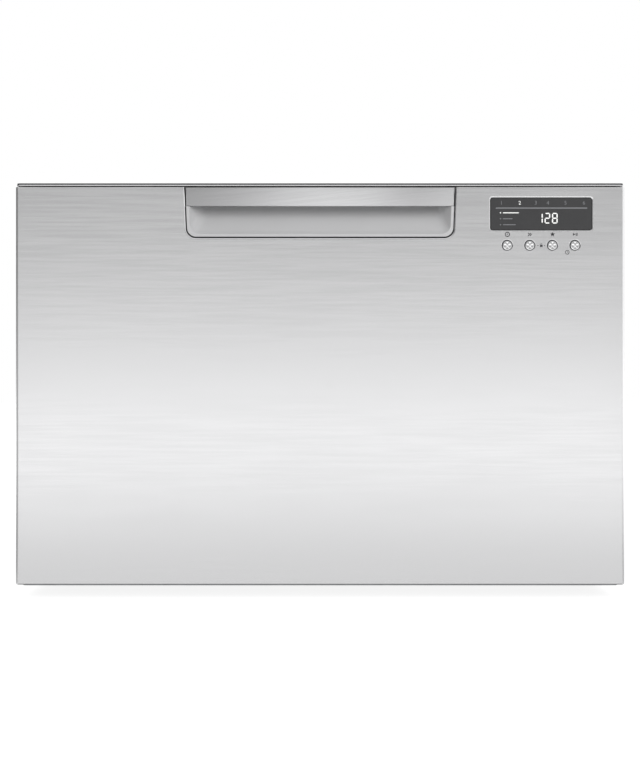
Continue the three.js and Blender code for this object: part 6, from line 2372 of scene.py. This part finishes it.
@dataclass
class Studio:
    """The floor, the light and the camera. Lengths are in millimetres and floor distances in metres."""

    distance: float = 1200.0
    sensor_height: float = 36.0
    panel_width_px: float = 609.6
    picture_px: tuple[int, int] = (640, 768)
    panel_middle_px: tuple[float, float] = (320.1, 384.05)
    floor_half: float = 12.0
    floor_greys: tuple[float, float, float] = (0.37, 0.38, 0.75)
    floor_glow: float = 0.87
    floor_near: float = 0.86
    floor_far: float = 1.8
    floor_reach: Span = (0.7, 2.6)
    floor_behind: float = 0.85
    floor_turn: float = 0.1
    floor_depth: float = 20.0
    # Painted shadow under the object, seen in reflections: its level, how fast it fades at its edges, and how
    # far in front it reaches.
    floor_under: float = 0.2
    under_fade: float = 0.008
    under_front: Span = (0.004, 0.012)
    floor_fan: Stops = ((-1.0, 0.42), (-0.4, 0.44), (-0.27, 1.0), (0.26, 1.0), (0.34, 0.64), (0.5, 0.66),
                        (0.6, 0.9), (1.0, 0.95))
    fill: float = 0.7
    shine: float = 1.2
    sky_by_height: Stops = ((-1.0, 0.7), (-0.02, 0.95), (0.0, 0.95), (0.08, 0.56), (0.16, 0.5), (0.35, 0.3),
                            (0.6, 0.75), (1.0, 1.0))
    sky_by_side: Stops = ((-1.0, 0.3), (-0.65, 0.4), (-0.42, 0.83), (1.0, 0.85))
    wall_by_side: Stops = ((-1.0, 0.0), (0.57, 0.0), (0.7, 0.95), (1.0, 1.0))
    lamp_target: Colour = (0.0, 0.0, 0.25)
    key_place: Colour = (1.1, -2.3, 1.25)
    key_size: float = 1.5
    key_power: float = 24.0
    back_place: Colour = (-1.6, 2.2, 1.9)
    back_size: float = 1.8
    back_power: float = 14.0

    def build(self) -> None:
        """Makes the room."""
        self.camera()
        self.floor()
        self.sky()
        self.lamp("key", self.key_place, self.key_size, self.key_power)
        self.lamp("back", self.back_place, self.back_size, self.back_power)

    def camera(self) -> None:
        """Sets a camera straight in front of the middle of the panel, as far away as the photograph's."""
        panel = Extent.of("front_skin")
        middle_z = (panel.low.z + Extent.of("edge_strip").high.z) / 2
        width, height = self.picture_px
        step = panel.size.x / self.panel_width_px
        data = bpy.data.cameras.new("camera")
        data.sensor_fit = "VERTICAL"
        data.sensor_height = self.sensor_height
        data.lens = self.sensor_height * self.distance / (step * height)
        data.clip_start, data.clip_end = 0.01, 50.0
        camera = hung("camera", data)
        across, down = self.panel_middle_px
        camera.location = Vector(((width / 2 - across) * step, panel.low.y - self.distance,
                                  middle_z + (down - height / 2) * step)) * MM
        camera.rotation_euler = (math.pi / 2, 0, 0)
        bpy.context.scene.camera = camera

    def by_ray(self, graph: Graph, plain: Node, shine: Node, seen: Node) -> Socket:
        """Gives surfaces, reflections and the camera a shader each.

        Args:
            graph: the tree that they are in.
            plain: for light that falls on a surface.
            shine: for what is reflected.
            seen: for the camera, and through glass.

        Returns:
            The shader put together.
        """
        rays = graph.node("ShaderNodeLightPath")
        clear = graph.both(rays.outputs["Is Camera Ray"], rays.outputs["Is Transmission Ray"], "MAXIMUM")
        glossy = graph.node("ShaderNodeMixShader", rays.outputs["Is Glossy Ray"], plain.outputs[0],
                            shine.outputs[0])
        return graph.node("ShaderNodeMixShader", clear, glossy.outputs[0], seen.outputs[0]).outputs[0]

    def floor(self) -> None:
        """Adds a wide pale floor that shows white to the camera but keeps a soft shadow."""
        half = self.floor_half
        mesh = bpy.data.meshes.new("floor")
        corners = [(-half, -half, 0), (half, -half, 0), (half, half, 0), (-half, half, 0)]
        mesh.from_pydata(corners, [], [(0, 1, 2, 3)])
        floor = hung("floor", mesh)
        graph = Surface("pale_floor")
        graph.set(Roughness=0.9, Specular_IOR_Level=0.0)
        darker, lighter, fill = ((grey, grey, grey) for grey in self.floor_greys)
        graph.feed("Base Color", graph.mixed(graph.noise(3), darker, lighter))
        glow = graph.node("ShaderNodeEmission", values={"Strength": self.floor_glow})
        seen = graph.node("ShaderNodeAddShader", graph.shader.outputs[0], glow.outputs[0])
        plain = graph.node("ShaderNodeBsdfDiffuse", values={"Color": (*fill, 1)})
        shine = graph.node("ShaderNodeEmission")
        graph.link(self.floor_shine(graph), shine.inputs["Strength"])
        output = next(n for n in graph.tree.nodes if n.type == "OUTPUT_MATERIAL")
        graph.link(self.by_ray(graph, plain, shine, seen), output.inputs["Surface"])
        mesh.materials.append(graph.material)

    def floor_shine(self, graph: Graph) -> Socket:
        """How bright the floor is in reflections: more so far in front, less beside the object, and less
        under it by a painted shadow.

        Args:
            graph: the floor's.

        Returns:
            The brightness.
        """
        spot = graph.place((1, 1, 1))
        x, y, _ = graph.split(spot).outputs
        reach = graph.node("ShaderNodeVectorMath", spot, operation="LENGTH").outputs["Value"]
        ahead = graph.ranged(reach, self.floor_near, self.floor_far, *self.floor_reach)
        panel = Extent.of("front_skin")
        centre = (panel.low.y + self.distance) * MM
        depth = graph.ranged(y, 0.0, centre + self.floor_depth, centre, -self.floor_depth)
        fan = graph.ramp(graph.both(x, depth, "DIVIDE"), self.floor_fan)
        behind = graph.ranged(y, 0, self.floor_behind, -self.floor_turn, self.floor_turn)
        lit = graph.both(ahead, graph.both(fan, behind, "MAXIMUM"))
        side = graph.node("ShaderNodeMath", x, operation="ABSOLUTE").outputs[0]
        # Painted shadow: under the object the floor is darker in reflections, standing in for its contact
        # shadow; beside, before and past mark where the floor is clear of it.
        edge_x, edge_y, fade = panel.high.x * MM, panel.low.y * MM, self.under_fade
        beside = graph.ranged(side, 0, 1, edge_x, edge_x + fade)
        before = graph.ranged(y, 0, 1, *(edge_y - gap for gap in self.under_front))
        past = graph.ranged(y, 0, 1, -edge_y, -edge_y + fade)
        clear = graph.both(graph.both(beside, before, "MAXIMUM"), past, "MAXIMUM")
        return graph.both(lit, graph.ranged(clear, self.floor_under, 1, 0, 1))

    def sky(self) -> None:
        """Adds a world that is white to the camera and soft and uneven to surfaces, darker on the left."""
        world = bpy.data.worlds.new("studio")
        world.use_nodes = True
        world.node_tree.nodes.clear()
        bpy.context.scene.world = world
        graph = Graph(world.node_tree)
        across, _, height = graph.split(graph.node("ShaderNodeTexCoord").outputs["Generated"]).outputs
        open_sky = graph.blend("MULTIPLY", graph.ramp(height, self.sky_by_height),
                               graph.ramp(across, self.sky_by_side))
        tones = graph.blend("LIGHTEN", open_sky, graph.ramp(across, self.wall_by_side))
        shine = graph.node("ShaderNodeBackground", tones, values={"Strength": self.shine})
        fill = graph.node("ShaderNodeBackground", values={"Strength": self.fill})
        white = graph.node("ShaderNodeBackground", values={"Color": (1, 1, 1, 1)})
        output = graph.node("ShaderNodeOutputWorld")
        graph.link(self.by_ray(graph, fill, shine, white), output.inputs["Surface"])

    def lamp(self, name: str, place: Colour, size: float, power: float) -> None:
        """Hangs one soft square lamp, which reflections don't show.

        Args:
            name: what it is called.
            place: where it hangs, in metres.
            size: of each side, in metres.
            power: in watts.
        """
        data = bpy.data.lights.new(name, "AREA")
        data.shape = "RECTANGLE"
        data.size = data.size_y = size
        data.energy = power
        lamp = hung(name, data)
        lamp.location = place
        aim = Vector(self.lamp_target) - Vector(place)
        lamp.rotation_euler = aim.to_track_quat("-Z", "Y").to_euler()
        lamp.visible_glossy = False


def main() -> None:
    """Builds the sub-assemblies in order, then the room, and reports each piece."""
    logging.basicConfig(level=logging.INFO, format="%(message)s")
    bpy.context.scene.view_settings.view_transform = "Standard"
    for kind in (Chassis, Runners, Tub, Lid, FrontPanel, WashSystem, Racks, FrontWallFittings):
        assembly = kind()
        assembly.build()
        for piece in assembly.made:
            log.info("%s: %s", kind.__name__, piece.name)
    Studio().build()


if __name__ == "__main__":
    main()
